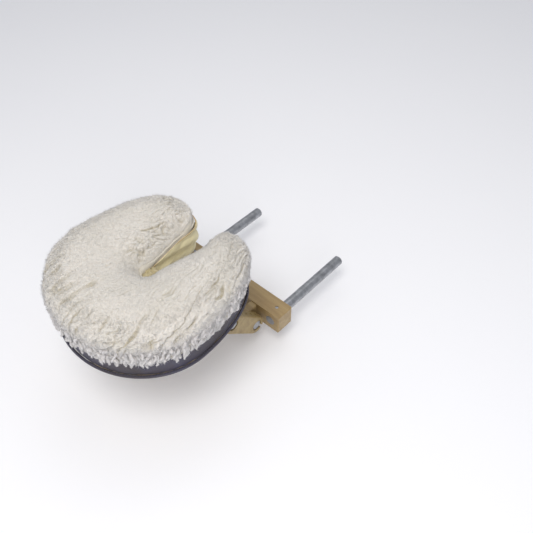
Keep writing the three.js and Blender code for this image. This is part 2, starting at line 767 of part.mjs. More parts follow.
add(root, 'crossbar', crossbar(), maple);
for (const [word, side] of SIDES) {
  add(root, `ear_${word}`, ear(side), maple);
  add(root, `post_${word}`, post(side), maple);
  add(root, `post_pin_${word}`, postPin(side, POST_PIN_RADIUS, POST_PIN_END), maple);
}
for (const [name, piece] of earScrews(screw)) {
  add(root, name, piece, steel);
}

export default root;
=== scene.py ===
"""Looks of the face cradle cushion: fleece cover, crescent pad and wooden cradle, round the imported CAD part.

Plan shapes are worked out in millimetres from the pad's centre, on the pad's underside, and placed in metres.
"""
import math

import bmesh
import bpy
import numpy as np
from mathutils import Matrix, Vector, geometry
from mathutils.bvhtree import BVHTree


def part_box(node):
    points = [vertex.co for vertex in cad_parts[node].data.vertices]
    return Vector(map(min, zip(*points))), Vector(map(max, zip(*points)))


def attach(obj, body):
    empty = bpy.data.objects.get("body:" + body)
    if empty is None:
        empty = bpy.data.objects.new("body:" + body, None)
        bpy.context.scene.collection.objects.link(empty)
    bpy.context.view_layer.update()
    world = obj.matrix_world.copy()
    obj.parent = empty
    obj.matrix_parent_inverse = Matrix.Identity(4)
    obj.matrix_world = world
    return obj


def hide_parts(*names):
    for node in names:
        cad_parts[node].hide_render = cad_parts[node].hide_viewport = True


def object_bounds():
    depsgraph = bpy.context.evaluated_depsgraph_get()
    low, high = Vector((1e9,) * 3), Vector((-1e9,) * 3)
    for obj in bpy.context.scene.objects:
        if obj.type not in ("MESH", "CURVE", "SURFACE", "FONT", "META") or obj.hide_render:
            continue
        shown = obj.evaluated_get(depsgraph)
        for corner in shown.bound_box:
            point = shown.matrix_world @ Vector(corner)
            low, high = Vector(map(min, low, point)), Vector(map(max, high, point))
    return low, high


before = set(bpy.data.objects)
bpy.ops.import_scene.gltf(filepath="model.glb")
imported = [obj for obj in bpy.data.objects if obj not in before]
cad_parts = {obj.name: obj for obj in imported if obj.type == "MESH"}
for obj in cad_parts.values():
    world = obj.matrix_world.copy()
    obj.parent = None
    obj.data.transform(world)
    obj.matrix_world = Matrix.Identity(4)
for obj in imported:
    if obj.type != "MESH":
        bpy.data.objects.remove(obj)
CAD_LOW, CAD_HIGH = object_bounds()

MM = 0.001
UP = np.array([0, 0, 1])

# Pad plan, as the CAD's: measured from the pad's centre
HALF_WIDTH = 139.0
WIDEST_Y = -42.0
HEAD_DEPTH = 123.0
REACH = 110.0
TIP_X = 66.0
TIP_CORNER = 30.0
PILE_SIDE = 7.0

# gap is half the opening's width between the lobes, and hole half its width at its rounded closed end,
# which starts at hole_y and is hole_depth deep
PAD_PLAN = dict(
    half=HALF_WIDTH, head=HEAD_DEPTH, reach=REACH, corner=TIP_CORNER,
    gap=34.0, hole=47.0, hole_y=-22.0, hole_depth=44.0,
)
COVER_PLAN = dict(
    half=HALF_WIDTH + PILE_SIDE, head=HEAD_DEPTH + PILE_SIDE, reach=REACH + PILE_SIDE,
    corner=TIP_CORNER + PILE_SIDE, gap=24.0, hole=10.0, hole_y=-21.0, hole_depth=9.0,
)

# Heights above the pad's underside
PAD_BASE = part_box("bottom_panel")[0].z
PAD_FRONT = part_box("outer_boxing")[0].y
PAD_CENTRE = np.array([0.0, PAD_FRONT + (HEAD_DEPTH - WIDEST_Y) * MM, PAD_BASE])
PAD_TOP = (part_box("top_panel")[1].z - PAD_BASE) / MM
PILE_HIGH = (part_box("fleece_cover")[1].z - PAD_BASE) / MM
HEM = (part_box("fleece_cover")[0].z - PAD_BASE) / MM


# ------------ noise, the same on every run
def hashed(*whole, seed=0):
    """A repeatable number from 0 to 1 for each set of whole numbers, by stirring their bits."""
    h = np.full(whole[0].shape, 0x9E3779B1 ^ (seed * 0x85EBCA6B & 0xFFFFFFFF), np.uint64)
    for k, w in enumerate(whole):
        h = (h ^ (w.astype(np.int64) & 0xFFFFFFFF).astype(np.uint64)) * np.uint64(0x27D4EB2F + 2 * k)
        h &= np.uint64(0xFFFFFFFF)
        h ^= h >> np.uint64(15)
        h = (h * np.uint64(0x85EBCA77)) & np.uint64(0xFFFFFFFF)
        h ^= h >> np.uint64(13)
    return h.astype(float) / 4294967295.0


def noise(p, seed=0):
    """Gradient noise, about -1 to 1, at points of two or three coordinates."""
    p = np.asarray(p, float)
    cell = np.floor(p)
    f = p - cell
    fade = f * f * f * (f * (f * 6 - 15) + 10)
    total = np.zeros(len(p))
    n = p.shape[1]
    for corner in range(2**n):
        bits = np.array([(corner >> k) & 1 for k in range(n)], float)
        at = (cell + bits).astype(np.int64)
        away = f - bits
        dot = np.zeros(len(p))
        for k in range(n):
            dot += (hashed(*at.T, seed=seed * 7 + k) * 2 - 1) * away[:, k]
        total += dot * np.prod(np.where(bits > 0, fade, 1 - fade), axis=1)
    return total * 1.5


def layered(p, octaves, seed=0):
    """Noise added up over octaves, each half as wide and half as strong as the one before."""
    total, size = np.zeros(len(p)), 1.0
    for k in range(octaves):
        total += size * noise(np.asarray(p) * 2**k, seed + 31 * k)
        size *= 0.5
    return total


def ease(low, high, x):
    """0 to 1 as x goes from low to high, smooth at both ends. low may be the larger of the two."""
    t = np.clip((np.asarray(x, float) - low) / (high - low), 0, 1)
    return t * t * (3 - 2 * t)


# ------------ plan outlines
def bezier(points, n):
    """n + 1 points along the Bezier curve of some control points."""
    points = np.array(points, float)
    t = np.linspace(0, 1, n + 1)[:, None]
    while len(points) > 1:
        points = [a * (1 - t) + b * t for a, b in zip(points[:-1], points[1:])]
    return points[0]


def arc(centre, rx, ry, start, end, n):
    """n + 1 points along an elliptical arc between two angles in degrees."""
    a = np.radians(np.linspace(start, end, n + 1))
    return np.stack([centre[0] + rx * np.cos(a), centre[1] + ry * np.sin(a)], 1)


def outer_half(plan, grow=0.0):
    """Right half of the outer edge, from the head to the lobe tip."""
    rise = plan["reach"] - WIDEST_Y
    head = arc((0, WIDEST_Y), plan["half"], plan["head"], -90, 0, 60)
    side = bezier([
        (plan["half"], WIDEST_Y),
        (plan["half"], WIDEST_Y + 0.49 * rise),
        (TIP_X + 0.63 * (plan["half"] - TIP_X), plan["reach"]),
        (TIP_X, plan["reach"]),
    ], 60)
    return shifted(np.vstack([head, side[1:]]), grow)


def inner_half(plan, grow=0.0):
    """Right half of the inner edge, from the lobe tip to the middle of the opening's closed end."""
    tip_y = plan["reach"] - plan["corner"]
    third = (tip_y - plan["hole_y"]) / 3
    corner = bezier([(TIP_X, plan["reach"]), (plan["gap"], plan["reach"]), (plan["gap"], tip_y)], 16)
    wall = bezier([
        (plan["gap"], tip_y),
        (plan["gap"], tip_y - third),
        (plan["hole"], plan["hole_y"] + third),
        (plan["hole"], plan["hole_y"]),
    ], 40)
    end = arc((0, plan["hole_y"]), plan["hole"], plan["hole_depth"], 0, -90, 24)
    return shifted(np.vstack([corner, wall[1:], end[1:]]), grow)


def shifted(line, by):
    """The line moved sideways by a distance, outwards for an edge that runs anticlockwise."""
    if not by:
        return line
    along = np.gradient(line, axis=0)
    along /= np.linalg.norm(along, axis=1)[:, None]
    return line + by * np.stack([along[:, 1], -along[:, 0]], 1)


def mirrored(half):
    """The whole line from its right half: left half first, running anticlockwise over the head."""
    return np.vstack([(half * [-1, 1])[::-1], half[1:]])


def length_along(line):
    """How far along the line each of its points is."""
    return np.concatenate([[0], np.cumsum(np.linalg.norm(np.diff(line, axis=0), axis=1))])


def spaced(line, step, closed=False):
    """The line again, with points an even step apart."""
    if closed:
        line = np.vstack([line, line[:1]])
    length = length_along(line)
    n = max(3, round(length[-1] / step))
    at = np.linspace(0, length[-1], n + 1)
    out = np.stack([np.interp(at, length, line[:, k]) for k in range(line.shape[1])], 1)
    return out[:-1] if closed else out


def inner_edge(plan, grow=0.0):
    """The whole inner edge, from the right lobe tip round the opening's closed end to the left one."""
    half = inner_half(plan, grow)
    return np.vstack([half, (half * [-1, 1])[::-1][1:]])


def crescent(plan, step, grow=0.0):
    """Closed anticlockwise outline of a crescent plan."""
    outer = mirrored(outer_half(plan, grow))
    return spaced(np.vstack([outer, inner_edge(plan, grow)[1:-1]]), step, closed=True)


def distance(points, line):
    """Distance of each plan point from an open line, and how far along the line its nearest point is."""
    a, b = line[:-1], line[1:]
    d = b - a
    size = np.maximum((d * d).sum(1), 1e-12)
    start = np.concatenate([[0], np.cumsum(np.sqrt(size))])[:-1]
    best, along = np.empty(len(points)), np.empty(len(points))
    for i in range(0, len(points), 4000):
        p = points[i : i + 4000, None, :2] - a[None]
        t = np.clip((p * d).sum(2) / size, 0, 1)
        gap = np.linalg.norm(p - t[..., None] * d, axis=2)
        k = gap.argmin(1)
        rows = np.arange(len(k))
        best[i : i + 4000] = gap[rows, k]
        along[i : i + 4000] = start[k] + t[rows, k] * np.sqrt(size[k])
    return best, along


# ------------ meshes
def place(points):
    """Points from the pad's millimetres to the scene's metres."""
    return PAD_CENTRE + np.asarray(points, float) * MM


def new_object(name, points, faces, material, smooth=True):
    """A mesh object from points in metres."""
    mesh = bpy.data.meshes.new(name)
    mesh.from_pydata(np.asarray(points, float).tolist(), [], [list(map(int, f)) for f in faces])
    mesh.validate()
    obj = bpy.data.objects.new(name, mesh)
    bpy.context.scene.collection.objects.link(obj)
    mesh.materials.append(material)
    mesh.polygons.foreach_set("use_smooth", [smooth] * len(mesh.polygons))
    return obj


def vectors(items, name):
    """A property of three numbers, read from every item at once."""
    out = np.empty(len(items) * 3)
    items.foreach_get(name, out)
    return out.reshape(-1, 3)


def points_of(obj):
    return vectors(obj.data.vertices, "co")


def normals_of(obj):
    return vectors(obj.data.vertex_normals, "vector")


def in_pad(points):
    """Points from the scene's metres to the pad's millimetres."""
    return (points - PAD_CENTRE) / MM


def move_points(obj, points):
    obj.data.vertices.foreach_set("co", np.asarray(points).ravel())
    obj.data.update()


def bake(obj):
    """Applies every modifier."""
    evaluated = obj.evaluated_get(bpy.context.evaluated_depsgraph_get())
    mesh = bpy.data.meshes.new_from_object(evaluated)
    obj.modifiers.clear()
    old, obj.data = obj.data, mesh
    mesh.name = obj.name
    bpy.data.meshes.remove(old)


def remesh(obj, voxel):
    """Gives a closed piece an even skin of squares about voxel millimetres wide."""
    m = obj.modifiers.new("Remesh", "REMESH")
    m.mode = "VOXEL"
    m.voxel_size = voxel * MM
    m.use_smooth_shade = True
    bake(obj)


def subdivide(obj, levels):
    m = obj.modifiers.new("Subdivision", "SUBSURF")
    m.levels = m.render_levels = levels
    bake(obj)


CLOTH_FRAMES = 20


def inflate(obj, pressure, cap, held):
    """Puffs a closed piece up by cloth pressure, at most cap millimetres. held marks points that stay."""
    rest = points_of(obj)
    group = obj.vertex_groups.new(name="held")
    group.add([int(i) for i in np.flatnonzero(held)], 1.0, "REPLACE")
    cloth = obj.modifiers.new("Cloth", "CLOTH")
    settings = cloth.settings
    settings.quality = 5
    settings.mass = 0.3
    settings.tension_stiffness = settings.compression_stiffness = 12
    settings.shear_stiffness = 5
    settings.bending_stiffness = 0.4
    settings.use_pressure = True
    settings.uniform_pressure_force = pressure
    settings.vertex_group_mass = "held"
    settings.effector_weights.gravity = 0
    cloth.collision_settings.use_self_collision = False
    scene = bpy.context.scene
    for step in range(1, CLOTH_FRAMES + 1):
        scene.frame_set(step)
    evaluated = obj.evaluated_get(bpy.context.evaluated_depsgraph_get())
    mesh = evaluated.to_mesh()
    moved = vectors(mesh.vertices, "co")
    evaluated.to_mesh_clear()
    obj.modifiers.clear()
    scene.frame_set(1)
    shift = moved - rest
    size = np.linalg.norm(shift, axis=1)[:, None]
    move_points(obj, rest + shift * np.minimum(1, cap * MM / np.maximum(size, 1e-9)))


def filled(name, outline, spacing, top, bottom, material):
    """A closed solid over a plan outline. top and bottom give the height at each plan point."""
    low, high = outline.min(0), outline.max(0)
    grid = np.stack(np.meshgrid(
        np.arange(low[0], high[0], spacing), np.arange(low[1], high[1], spacing),
    ), -1).reshape(-1, 2)
    ring = np.vstack([outline, outline[:1]])
    grid = grid[distance(grid, ring)[0] > 0.6 * spacing]
    n = len(outline)
    points = [Vector(p) for p in np.vstack([outline, grid])]
    edges = [(i, (i + 1) % n) for i in range(n)]
    made = geometry.delaunay_2d_cdt(points, edges, [list(range(n))], 1, 1e-4)
    plan, faces = np.array([tuple(p) for p in made[0]]), made[2]
    count = len(plan)
    upper = np.column_stack([plan, top(plan)])
    lower = np.column_stack([plan, bottom(plan)])
    sides = dict.fromkeys((a, b) for f in faces for a, b in zip(f, [*f[1:], f[0]]))
    walls = [(a, a + count, b + count, b) for a, b in sides if (b, a) not in sides]
    flipped = [[i + count for i in reversed(f)] for f in faces]
    obj = new_object(name, place(np.vstack([upper, lower])), [*faces, *walls, *flipped], material)
    bm = bmesh.new()
    bm.from_mesh(obj.data)
    bmesh.ops.recalc_face_normals(bm, faces=bm.faces)
    bm.to_mesh(obj.data)
    bm.free()
    return obj


def drop_faces(obj, test):
    """Deletes the faces whose centre and normal pass a test, and what they leave loose."""
    bm = bmesh.new()
    bm.from_mesh(obj.data)
    centres = np.array([tuple(f.calc_center_median()) for f in bm.faces])
    normals = np.array([tuple(f.normal) for f in bm.faces])
    bad = test(in_pad(centres), normals)
    bmesh.ops.delete(bm, geom=[f for f, b in zip(list(bm.faces), bad) if b], context="FACES")
    bm.to_mesh(obj.data)
    bm.free()


def swept(line, section, closed=False):
    """Points and faces of a tube along a line. section holds its outline at each point of the line.

    An outline is a list of sideways and upright offsets. Sideways is outwards from an anticlockwise line.
    """
    around = np.vstack([line[-1:], line, line[:1]])
    along = np.gradient(around, axis=0)[1:-1] if closed else np.gradient(line, axis=0)
    side = np.stack([along[:, 1], -along[:, 0], np.zeros(len(line))], 1)
    side /= np.linalg.norm(side, axis=1)[:, None]
    rings = [line[i] + side[i] * o[:, :1] + UP * o[:, 1:2] for i, o in enumerate(section)]
    sides = len(rings[0])
    n = len(rings)
    faces = []
    for i in range(n if closed else n - 1):
        j = (i + 1) % n
        for k in range(sides):
            m = (k + 1) % sides
            faces.append((i * sides + k, i * sides + m, j * sides + m, j * sides + k))
    if not closed:
        faces.append(tuple(range(sides)))
        faces.append(tuple(range((n - 1) * sides, n * sides))[::-1])
    return np.vstack(rings), faces


def tube_faces(start, rings, sides):
    """Faces of a tube with closed ends, whose points are numbered from start, ring by ring."""
    faces = []
    end = start + (rings - 1) * sides
    for b in range(start, end, sides):
        for k in range(sides):
            m = (k + 1) % sides
            faces.append((b + k, b + m, b + sides + m, b + sides + k))
    faces.append(tuple(end + k for k in range(sides)))
    faces.append(tuple(start + k for k in range(sides))[::-1])
    return faces


def circle(radius_side, radius_up, sides):
    """An outline for swept: a circle, or an ellipse."""
    a = np.linspace(0, 2 * math.pi, sides, endpoint=False)
    return np.stack([radius_side * np.cos(a), radius_up * np.sin(a)], 1)


def attribute(obj, name, values):
    """Stores a number at each point, for the materials to read."""
    layer = obj.data.attributes.new(name, "FLOAT", "POINT")
    layer.data.foreach_set("value", np.asarray(values, np.float32))


# ------------ materials
def linear(red, green, blue):
    """A colour given as it looks, from 0 to 255."""
    def one(c):
        c /= 255
        return c / 12.92 if c <= 0.04045 else ((c + 0.055) / 1.055) ** 2.4
    return (one(red), one(green), one(blue), 1.0)


def shaded(tone, by):
    """The colour of a tone made darker or lighter by a factor."""
    return linear(*[c * by for c in tone])


class Nodes:
    """A material's node tree, with a short way to add and link nodes."""

    def __init__(self, name):
        self.material = bpy.data.materials.new(name)
        self.material.use_nodes = True
        self.tree = self.material.node_tree
        self.shader = self.tree.nodes["Principled BSDF"]
        self.at = self.node("ShaderNodeTexCoord").outputs["Object"]

    def node(self, kind, inputs=None, **settings):
        """A new node, with values or links for some of its inputs."""
        made = self.tree.nodes.new(kind)
        for key, value in settings.items():
            setattr(made, key, value)
        for key, value in (inputs or {}).items():
            self.feed(made.inputs[key], value)
        return made

    def feed(self, socket, value):
        if isinstance(value, bpy.types.NodeSocket):
            self.tree.links.new(value, socket)
        else:
            socket.default_value = value

    def set(self, **inputs):
        """Sets the shader's own inputs, with _ for each space in a name."""
        for key, value in inputs.items():
            self.feed(self.shader.inputs[key.replace("_", " ")], value)

    def noise(self, size, detail=3.0, distortion=0.0):
        """Noise with features about size metres wide."""
        inputs = {"Vector": self.at, "Scale": 1.0 / size, "Detail": detail, "Distortion": distortion}
        return self.node("ShaderNodeTexNoise", {**inputs, "Roughness": 0.55}).outputs["Fac"]

    def streaks(self, scales, turn, detail, distortion=0.0):
        """Noise with its own scale along each of the turned axes, in features for each metre."""
        lay = self.node("ShaderNodeMapping", {"Vector": self.at, "Scale": scales, "Rotation": turn})
        inputs = {"Vector": lay.outputs[0], "Scale": 1.0, "Detail": detail, "Distortion": distortion}
        return self.node("ShaderNodeTexNoise", inputs).outputs["Fac"]

    def cells(self, scale, randomness=1.0, **settings):
        """Distances in a pattern of scattered cells, scale of them to a metre."""
        inputs = {"Vector": self.at, "Scale": scale, "Randomness": randomness}
        return self.node("ShaderNodeTexVoronoi", inputs, **settings).outputs["Distance"]

    def ramp(self, value, low, high):
        """value from low to high, stretched to 0 to 1."""
        inputs = {"Value": value, "From Min": low, "From Max": high}
        return self.node("ShaderNodeMapRange", inputs).outputs["Result"]

    def span(self, value, low, high):
        """value from 0 to 1, stretched to low to high."""
        inputs = {"Value": value, "To Min": low, "To Max": high}
        return self.node("ShaderNodeMapRange", inputs).outputs["Result"]

    def mix(self, share, a, b):
        """Colour a mixed with colour b. A Mix node's colours are its inputs 6 and 7, and its output 2."""
        made = self.node("ShaderNodeMix", data_type="RGBA")
        self.feed(made.inputs[0], share)
        self.feed(made.inputs[6], a)
        self.feed(made.inputs[7], b)
        return made.outputs[2]

    def maths(self, kind, a, b=0.0):
        made = self.node("ShaderNodeMath", operation=kind)
        self.feed(made.inputs[0], a)
        self.feed(made.inputs[1], b)
        return made.outputs[0]

    def bump(self, height, depth, strength=1.0, under=None):
        inputs = {"Height": height, "Distance": depth, "Strength": strength}
        if under:
            inputs["Normal"] = under
        return self.node("ShaderNodeBump", inputs).outputs["Normal"]

    def attribute(self, name):
        return self.node("ShaderNodeAttribute", attribute_name=name).outputs["Fac"]


def fleece_material(name, bright):
    """Pile, warm on top, with painted cool shade low on the sides and painted shade in the creases."""
    m = Nodes(name)
    depth = m.attribute("pile")
    painted_cool_shade = m.attribute("rim")
    paler = linear(*bright)
    deeper = linear(bright[0] - 5, bright[1] - 5, bright[2] - 6)
    warm = m.mix(m.ramp(m.noise(0.05, 2), 0.35, 0.65), paler, deeper)
    # Painted shade: the colour turns olive-grey where the pile attribute is low, in the creases.
    shade = m.mix(m.ramp(depth, 0.0, 0.5), linear(184, 173, 146), warm)
    speckle = m.mix(m.span(m.noise(0.003, 2), 0.0, 0.2), shade, linear(200, 192, 176))
    # Painted shade: a cool lilac-grey low on the cover's sides, where the rim attribute is high.
    rim = m.mix(m.maths("MULTIPLY", painted_cool_shade, 0.65), speckle, linear(188, 186, 198))
    m.set(Base_Color=rim, Roughness=m.span(m.noise(0.004), 0.85, 1.0), Sheen_Weight=0.35, Sheen_Roughness=0.6)
    m.set(Sheen_Tint=linear(255, 252, 246), Specular_IOR_Level=0.15)
    m.set(Subsurface_Weight=0.5, Subsurface_Radius=(1.0, 0.93, 0.85), Subsurface_Scale=0.006)
    tuft = m.noise(0.0075, 3, distortion=1.3)
    curl = m.noise(0.0028, 4, distortion=0.8)
    fibre = m.noise(0.0006, 2)
    soft = m.bump(curl, 0.0014, 0.8, m.bump(tuft, 0.0028, 0.55))
    m.set(Normal=m.bump(fibre, 0.0003, 0.6, soft))
    return m.material


# The scale at which a wave texture makes bands of one thread each, for threads a metre wide
WAVE_SCALE = 0.16


def cloth_material(name, light, dark, thread):
    """Plain woven cotton, with painted shade between the threads. thread is the width of a thread in metres.
    """
    m = Nodes(name)
    tone = m.mix(m.ramp(m.noise(0.02, 3), 0.3, 0.7), linear(*light), linear(*dark))
    bands = {"Vector": m.at, "Scale": WAVE_SCALE / thread, "Distortion": 0.6, "Detail": 1.0}
    ways = [m.node("ShaderNodeTexWave", bands, bands_direction=axis).outputs["Fac"] for axis in "YZ"]
    weave = m.maths("MULTIPLY", *ways)
    # Painted shade: darker between the weave's threads.
    coloured = m.mix(m.span(weave, 0.25, 0.0), tone, shaded(dark, 0.8))
    m.set(Base_Color=coloured, Roughness=m.span(m.noise(0.01), 0.7, 0.9), Specular_IOR_Level=0.25)
    m.set(Sheen_Weight=0.25, Sheen_Roughness=0.5)
    m.set(Normal=m.bump(weave, thread * 0.5, 0.5, m.bump(m.noise(0.006, 3), 0.0006, 0.4)))
    return m.material


def vinyl_material(name, tone, warm):
    """Vinyl with a fine leather grain, painted shade in the grain's grooves, soft creases and a few worn
    places.
    """
    m = Nodes(name)
    patch = m.ramp(m.noise(0.06, 3), 0.35, 0.65)
    colour = m.mix(patch, linear(*tone), linear(*warm))
    grooves = m.ramp(m.cells(750.0, feature="DISTANCE_TO_EDGE"), 0.0, 0.18)
    # Painted shade: darker along the grain's grooves.
    shown = m.mix(m.span(grooves, 0.35, 0.0), colour, shaded(tone, 0.6))
    scuffs = m.ramp(m.noise(0.012, 5, distortion=0.5), 0.62, 0.75)
    worn = m.mix(m.maths("MULTIPLY", scuffs, 0.25), shown, shaded(tone, 1.35))
    m.set(Base_Color=worn, Roughness=m.span(m.noise(0.01, 3), 0.38, 0.58), Specular_IOR_Level=0.45)
    creases = m.noise(0.009, 4, distortion=0.6)
    m.set(Normal=m.bump(grooves, 0.00018, 0.7, m.bump(creases, 0.0006, 0.35)))
    return m.material


def wood_material(name, light, dark, turn=(0, 0, 0), ply=0.0):
    """Wood with its grain along the turned X axis. Plywood's edge shows a dark layer in every ply metres."""
    m = Nodes(name)
    rings = m.streaks((6.0, 70.0, 70.0), turn, 4.0, 0.8)
    lines = m.streaks((40.0, 1500.0, 1500.0), turn, 2.0)
    base = m.mix(m.ramp(rings, 0.3, 0.7), linear(*light), linear(*dark))
    grain = m.mix(m.span(m.ramp(lines, 0.45, 0.75), 0.0, 0.45), base, shaded(dark, 0.72))
    if ply:
        height = m.node("ShaderNodeSeparateXYZ", {"Vector": m.at}).outputs["Z"]
        wave = m.maths("SINE", m.maths("MULTIPLY", height, 2 * math.pi / ply))
        normal = m.node("ShaderNodeNewGeometry").outputs["Normal"]
        side = m.maths("ABSOLUTE", m.node("ShaderNodeSeparateXYZ", {"Vector": normal}).outputs["Z"])
        edge = m.maths("MULTIPLY", m.ramp(wave, -0.2, 0.2), m.ramp(side, 0.7, 0.3))
        grain = m.mix(m.maths("MULTIPLY", edge, 0.6), grain, shaded(dark, 0.55))
    dirt = m.ramp(m.noise(0.025, 4), 0.55, 0.8)
    shown = m.mix(m.maths("MULTIPLY", dirt, 0.3), grain, shaded(dark, 0.6))
    m.set(Base_Color=shown, Roughness=m.span(rings, 0.35, 0.55), Coat_Weight=0.25, Coat_Roughness=0.3)
    m.set(Normal=m.bump(lines, 0.0002, 0.5))
    return m.material


def metal_material(name, tone, rough):
    """Plated steel, slightly blotched, with fine turning marks."""
    m = Nodes(name)
    colour = m.mix(m.ramp(m.noise(0.01, 4), 0.35, 0.7), linear(*tone), shaded(tone, 0.8))
    m.set(Base_Color=colour, Metallic=1.0, Roughness=m.span(m.noise(0.003, 4), rough - 0.08, rough + 0.15))
    m.set(Normal=m.bump(m.streaks((900, 60, 900), (0, 0, 0), 2.0), 0.00006, 0.5))
    return m.material


def plastic_material(name, tone, rough, grain):
    """Moulded plastic with a fine grain, in metres."""
    m = Nodes(name)
    paler = linear(*[min(255, c * 1.25 + 3) for c in tone])
    colour = m.mix(m.ramp(m.noise(0.02, 3), 0.4, 0.7), linear(*tone), paler)
    m.set(Base_Color=colour, Specular_IOR_Level=0.5)
    m.set(Roughness=m.span(m.noise(0.004, 3), rough - 0.08, rough + 0.1))
    m.set(Normal=m.bump(m.noise(grain, 2), grain * 0.15, 0.5))
    return m.material


def foam_material(name, tone):
    """Cut foam with open pores, and painted shade in them."""
    m = Nodes(name)
    pores = m.cells(900.0)
    # Painted shade: darker in the pores.
    colour = m.mix(m.ramp(pores, 0.1, 0.5), shaded(tone, 0.75), linear(*tone))
    m.set(Base_Color=colour, Roughness=m.span(m.noise(0.01), 0.9, 1.0), Normal=m.bump(pores, 0.0006, 0.8))
    return m.material


def tape_material(name, tone, pitch):
    """Hook or loop tape, with its bristles a pitch apart in metres, and painted highlights on their tops."""
    m = Nodes(name)
    bristle = m.cells(1 / pitch, randomness=0.25)
    # Painted highlight: each bristle's top is lighter than the tape between the bristles.
    colour = m.mix(m.ramp(bristle, 0.15, 0.5), shaded(tone, 1.8), linear(*tone))
    m.set(Base_Color=colour, Roughness=m.span(m.noise(0.003), 0.75, 0.95), Sheen_Weight=0.2)
    m.set(Normal=m.bump(bristle, 0.0009, 1.0))
    return m.material


FLEECE = fleece_material("fleece", (224, 219, 211))
# Painted light: the fibres get a paler copy of the fleece, to make up for the shade among them.
FIBRE = fleece_material("fleece_fibre", (240, 237, 232))
# Painted shade: a darker copy of the cream cotton, for the bunch of lining at the opening's closed end.
SHADED_CREAM = cloth_material("cream_cotton_painted_shade", (212, 200, 164), (184, 170, 128), 0.0005)
CREAM = cloth_material("cream_cotton", (240, 230, 192), (228, 217, 176), 0.0005)
BACKING = cloth_material("knit_backing", (224, 218, 204), (206, 199, 184), 0.0012)
ELASTIC = cloth_material("elastic_webbing", (230, 226, 216), (208, 204, 194), 0.0009)
THREAD = cloth_material("tan_thread", (208, 164, 100), (186, 140, 82), 0.0004)
GREY_THREAD = cloth_material("grey_thread", (96, 94, 108), (78, 76, 90), 0.0004)
VINYL = vinyl_material("slate_vinyl", (78, 76, 94), (72, 65, 68))
PIPING = vinyl_material("slate_piping", (72, 70, 88), (66, 60, 66))
FOAM = foam_material("foam", (222, 204, 150))
STEEL = metal_material("zinc_steel", (176, 178, 182), 0.34)
NYLON = plastic_material("nylon", (222, 220, 210), 0.5, 0.001)
BLACK = plastic_material("black_moulded", (22, 22, 25), 0.42, 0.0007)
HOOKS = tape_material("hook_tape", (26, 26, 30), 0.0016)
LOOPS = tape_material("loop_tape", (30, 29, 33), 0.0009)

# The grain runs along X in the crossbar, up the slanting links, and along Y in the blocks and boards
LINK_TURN = math.radians(136)
QUARTER = math.pi / 2
PLY = 0.0026
MAPLE_X = wood_material("maple_crossbar", (172, 148, 102), (146, 120, 78))
MAPLE_LINK = wood_material("maple_links", (164, 142, 92), (134, 112, 68), (LINK_TURN, 0, QUARTER))
MAPLE_Y = wood_material("maple_blocks", (166, 142, 96), (138, 114, 72), (0, 0, QUARTER))
PLYWOOD = wood_material("birch_plywood", (186, 160, 114), (160, 132, 88), (0, 0, QUARTER), PLY)


def dress(material, *names):
    """Gives nodes a material in place of their own. A name that ends in _ stands for all that start so."""
    for node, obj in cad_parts.items():
        if node in names or node.startswith(tuple(name for name in names if name.endswith("_"))):
            slots = obj.data.materials
            if slots:
                slots[0] = material
            else:
                slots.append(material)


dress(STEEL, "ear_screw_", "bracket_screw_", "post_left", "post_right", "post_pin_")
for hinge in ("height", "tilt"):
    dress(STEEL, *[f"{hinge}_{piece}" for piece in ("rod", "nut", "cam_washer", "lever_pin")])
    dress(NYLON, f"{hinge}_friction_disc_")
    dress(BLACK, f"{hinge}_lever")
dress(MAPLE_X, "crossbar", "link_stretcher")
dress(MAPLE_LINK, "link_left", "link_right")
dress(MAPLE_Y, "ear_left", "ear_right", "bracket_left", "bracket_right")
dress(PLYWOOD, "platform_board", "base_board")
dress(HOOKS, "hook_strip_")
dress(LOOPS, "loop_strip_")

# ------------ pad
# The cover's outer edge, and its edge round the face opening
outer_line = spaced(mirrored(outer_half(COVER_PLAN)), 6)
slit_line = spaced(inner_edge(COVER_PLAN), 3)

# The vinyl shell's edge: its corner starts in from the plan and rises over its width to the crown
SHELL_INSET = 3.0
SHELL_CORNER = 16.0
SHELL_SHOULDER = 4.5
SHELL_CROWN = 4.0
SHELL_BASE = 0.4
SHELL_HELD = 3.5
SHELL_BULGE = 3.2

PIPING_RADIUS = 2.4
STITCH_RADIUS = 0.5
STITCH_PITCH = 4.2
STITCH_LENGTH = 0.62 * STITCH_PITCH
# How far along a stitch each of its rings is, and how far out of the vinyl, as shares of its size
STITCH_BOW = [(-0.5, -0.5), (-0.3, 0.25), (0.0, 0.45), (0.3, 0.25), (0.5, -0.5)]


def level(height):
    """A flat top or bottom for a filled piece."""
    return lambda plan: np.full(len(plan), height)


def pad_cover():
    """The vinyl shell, crowned and bulged by its foam."""
    outline = crescent(PAD_PLAN, 4, -SHELL_INSET)
    ring = np.vstack([outline, outline[:1]])

    def top(plan):
        edge = np.clip(distance(plan, ring)[0] / SHELL_CORNER, 0, 1)
        return PAD_TOP - SHELL_SHOULDER + SHELL_CROWN * np.sqrt(1 - (1 - edge) ** 2)

    shell = filled("pad_cover", outline, 5, top, level(SHELL_BASE), VINYL)
    remesh(shell, 5)
    held = (points_of(shell)[:, 2] - PAD_BASE) / MM < SHELL_HELD
    inflate(shell, 4, SHELL_BULGE, held)
    subdivide(shell, 1)
    return shell


def ring_of(name, line, z, section, material):
    """A closed ring of one section, at one height."""
    line3 = np.column_stack([line, np.full(len(line), z)])
    points, faces = swept(line3, [section] * len(line), closed=True)
    return new_object(name, place(points), faces, material)


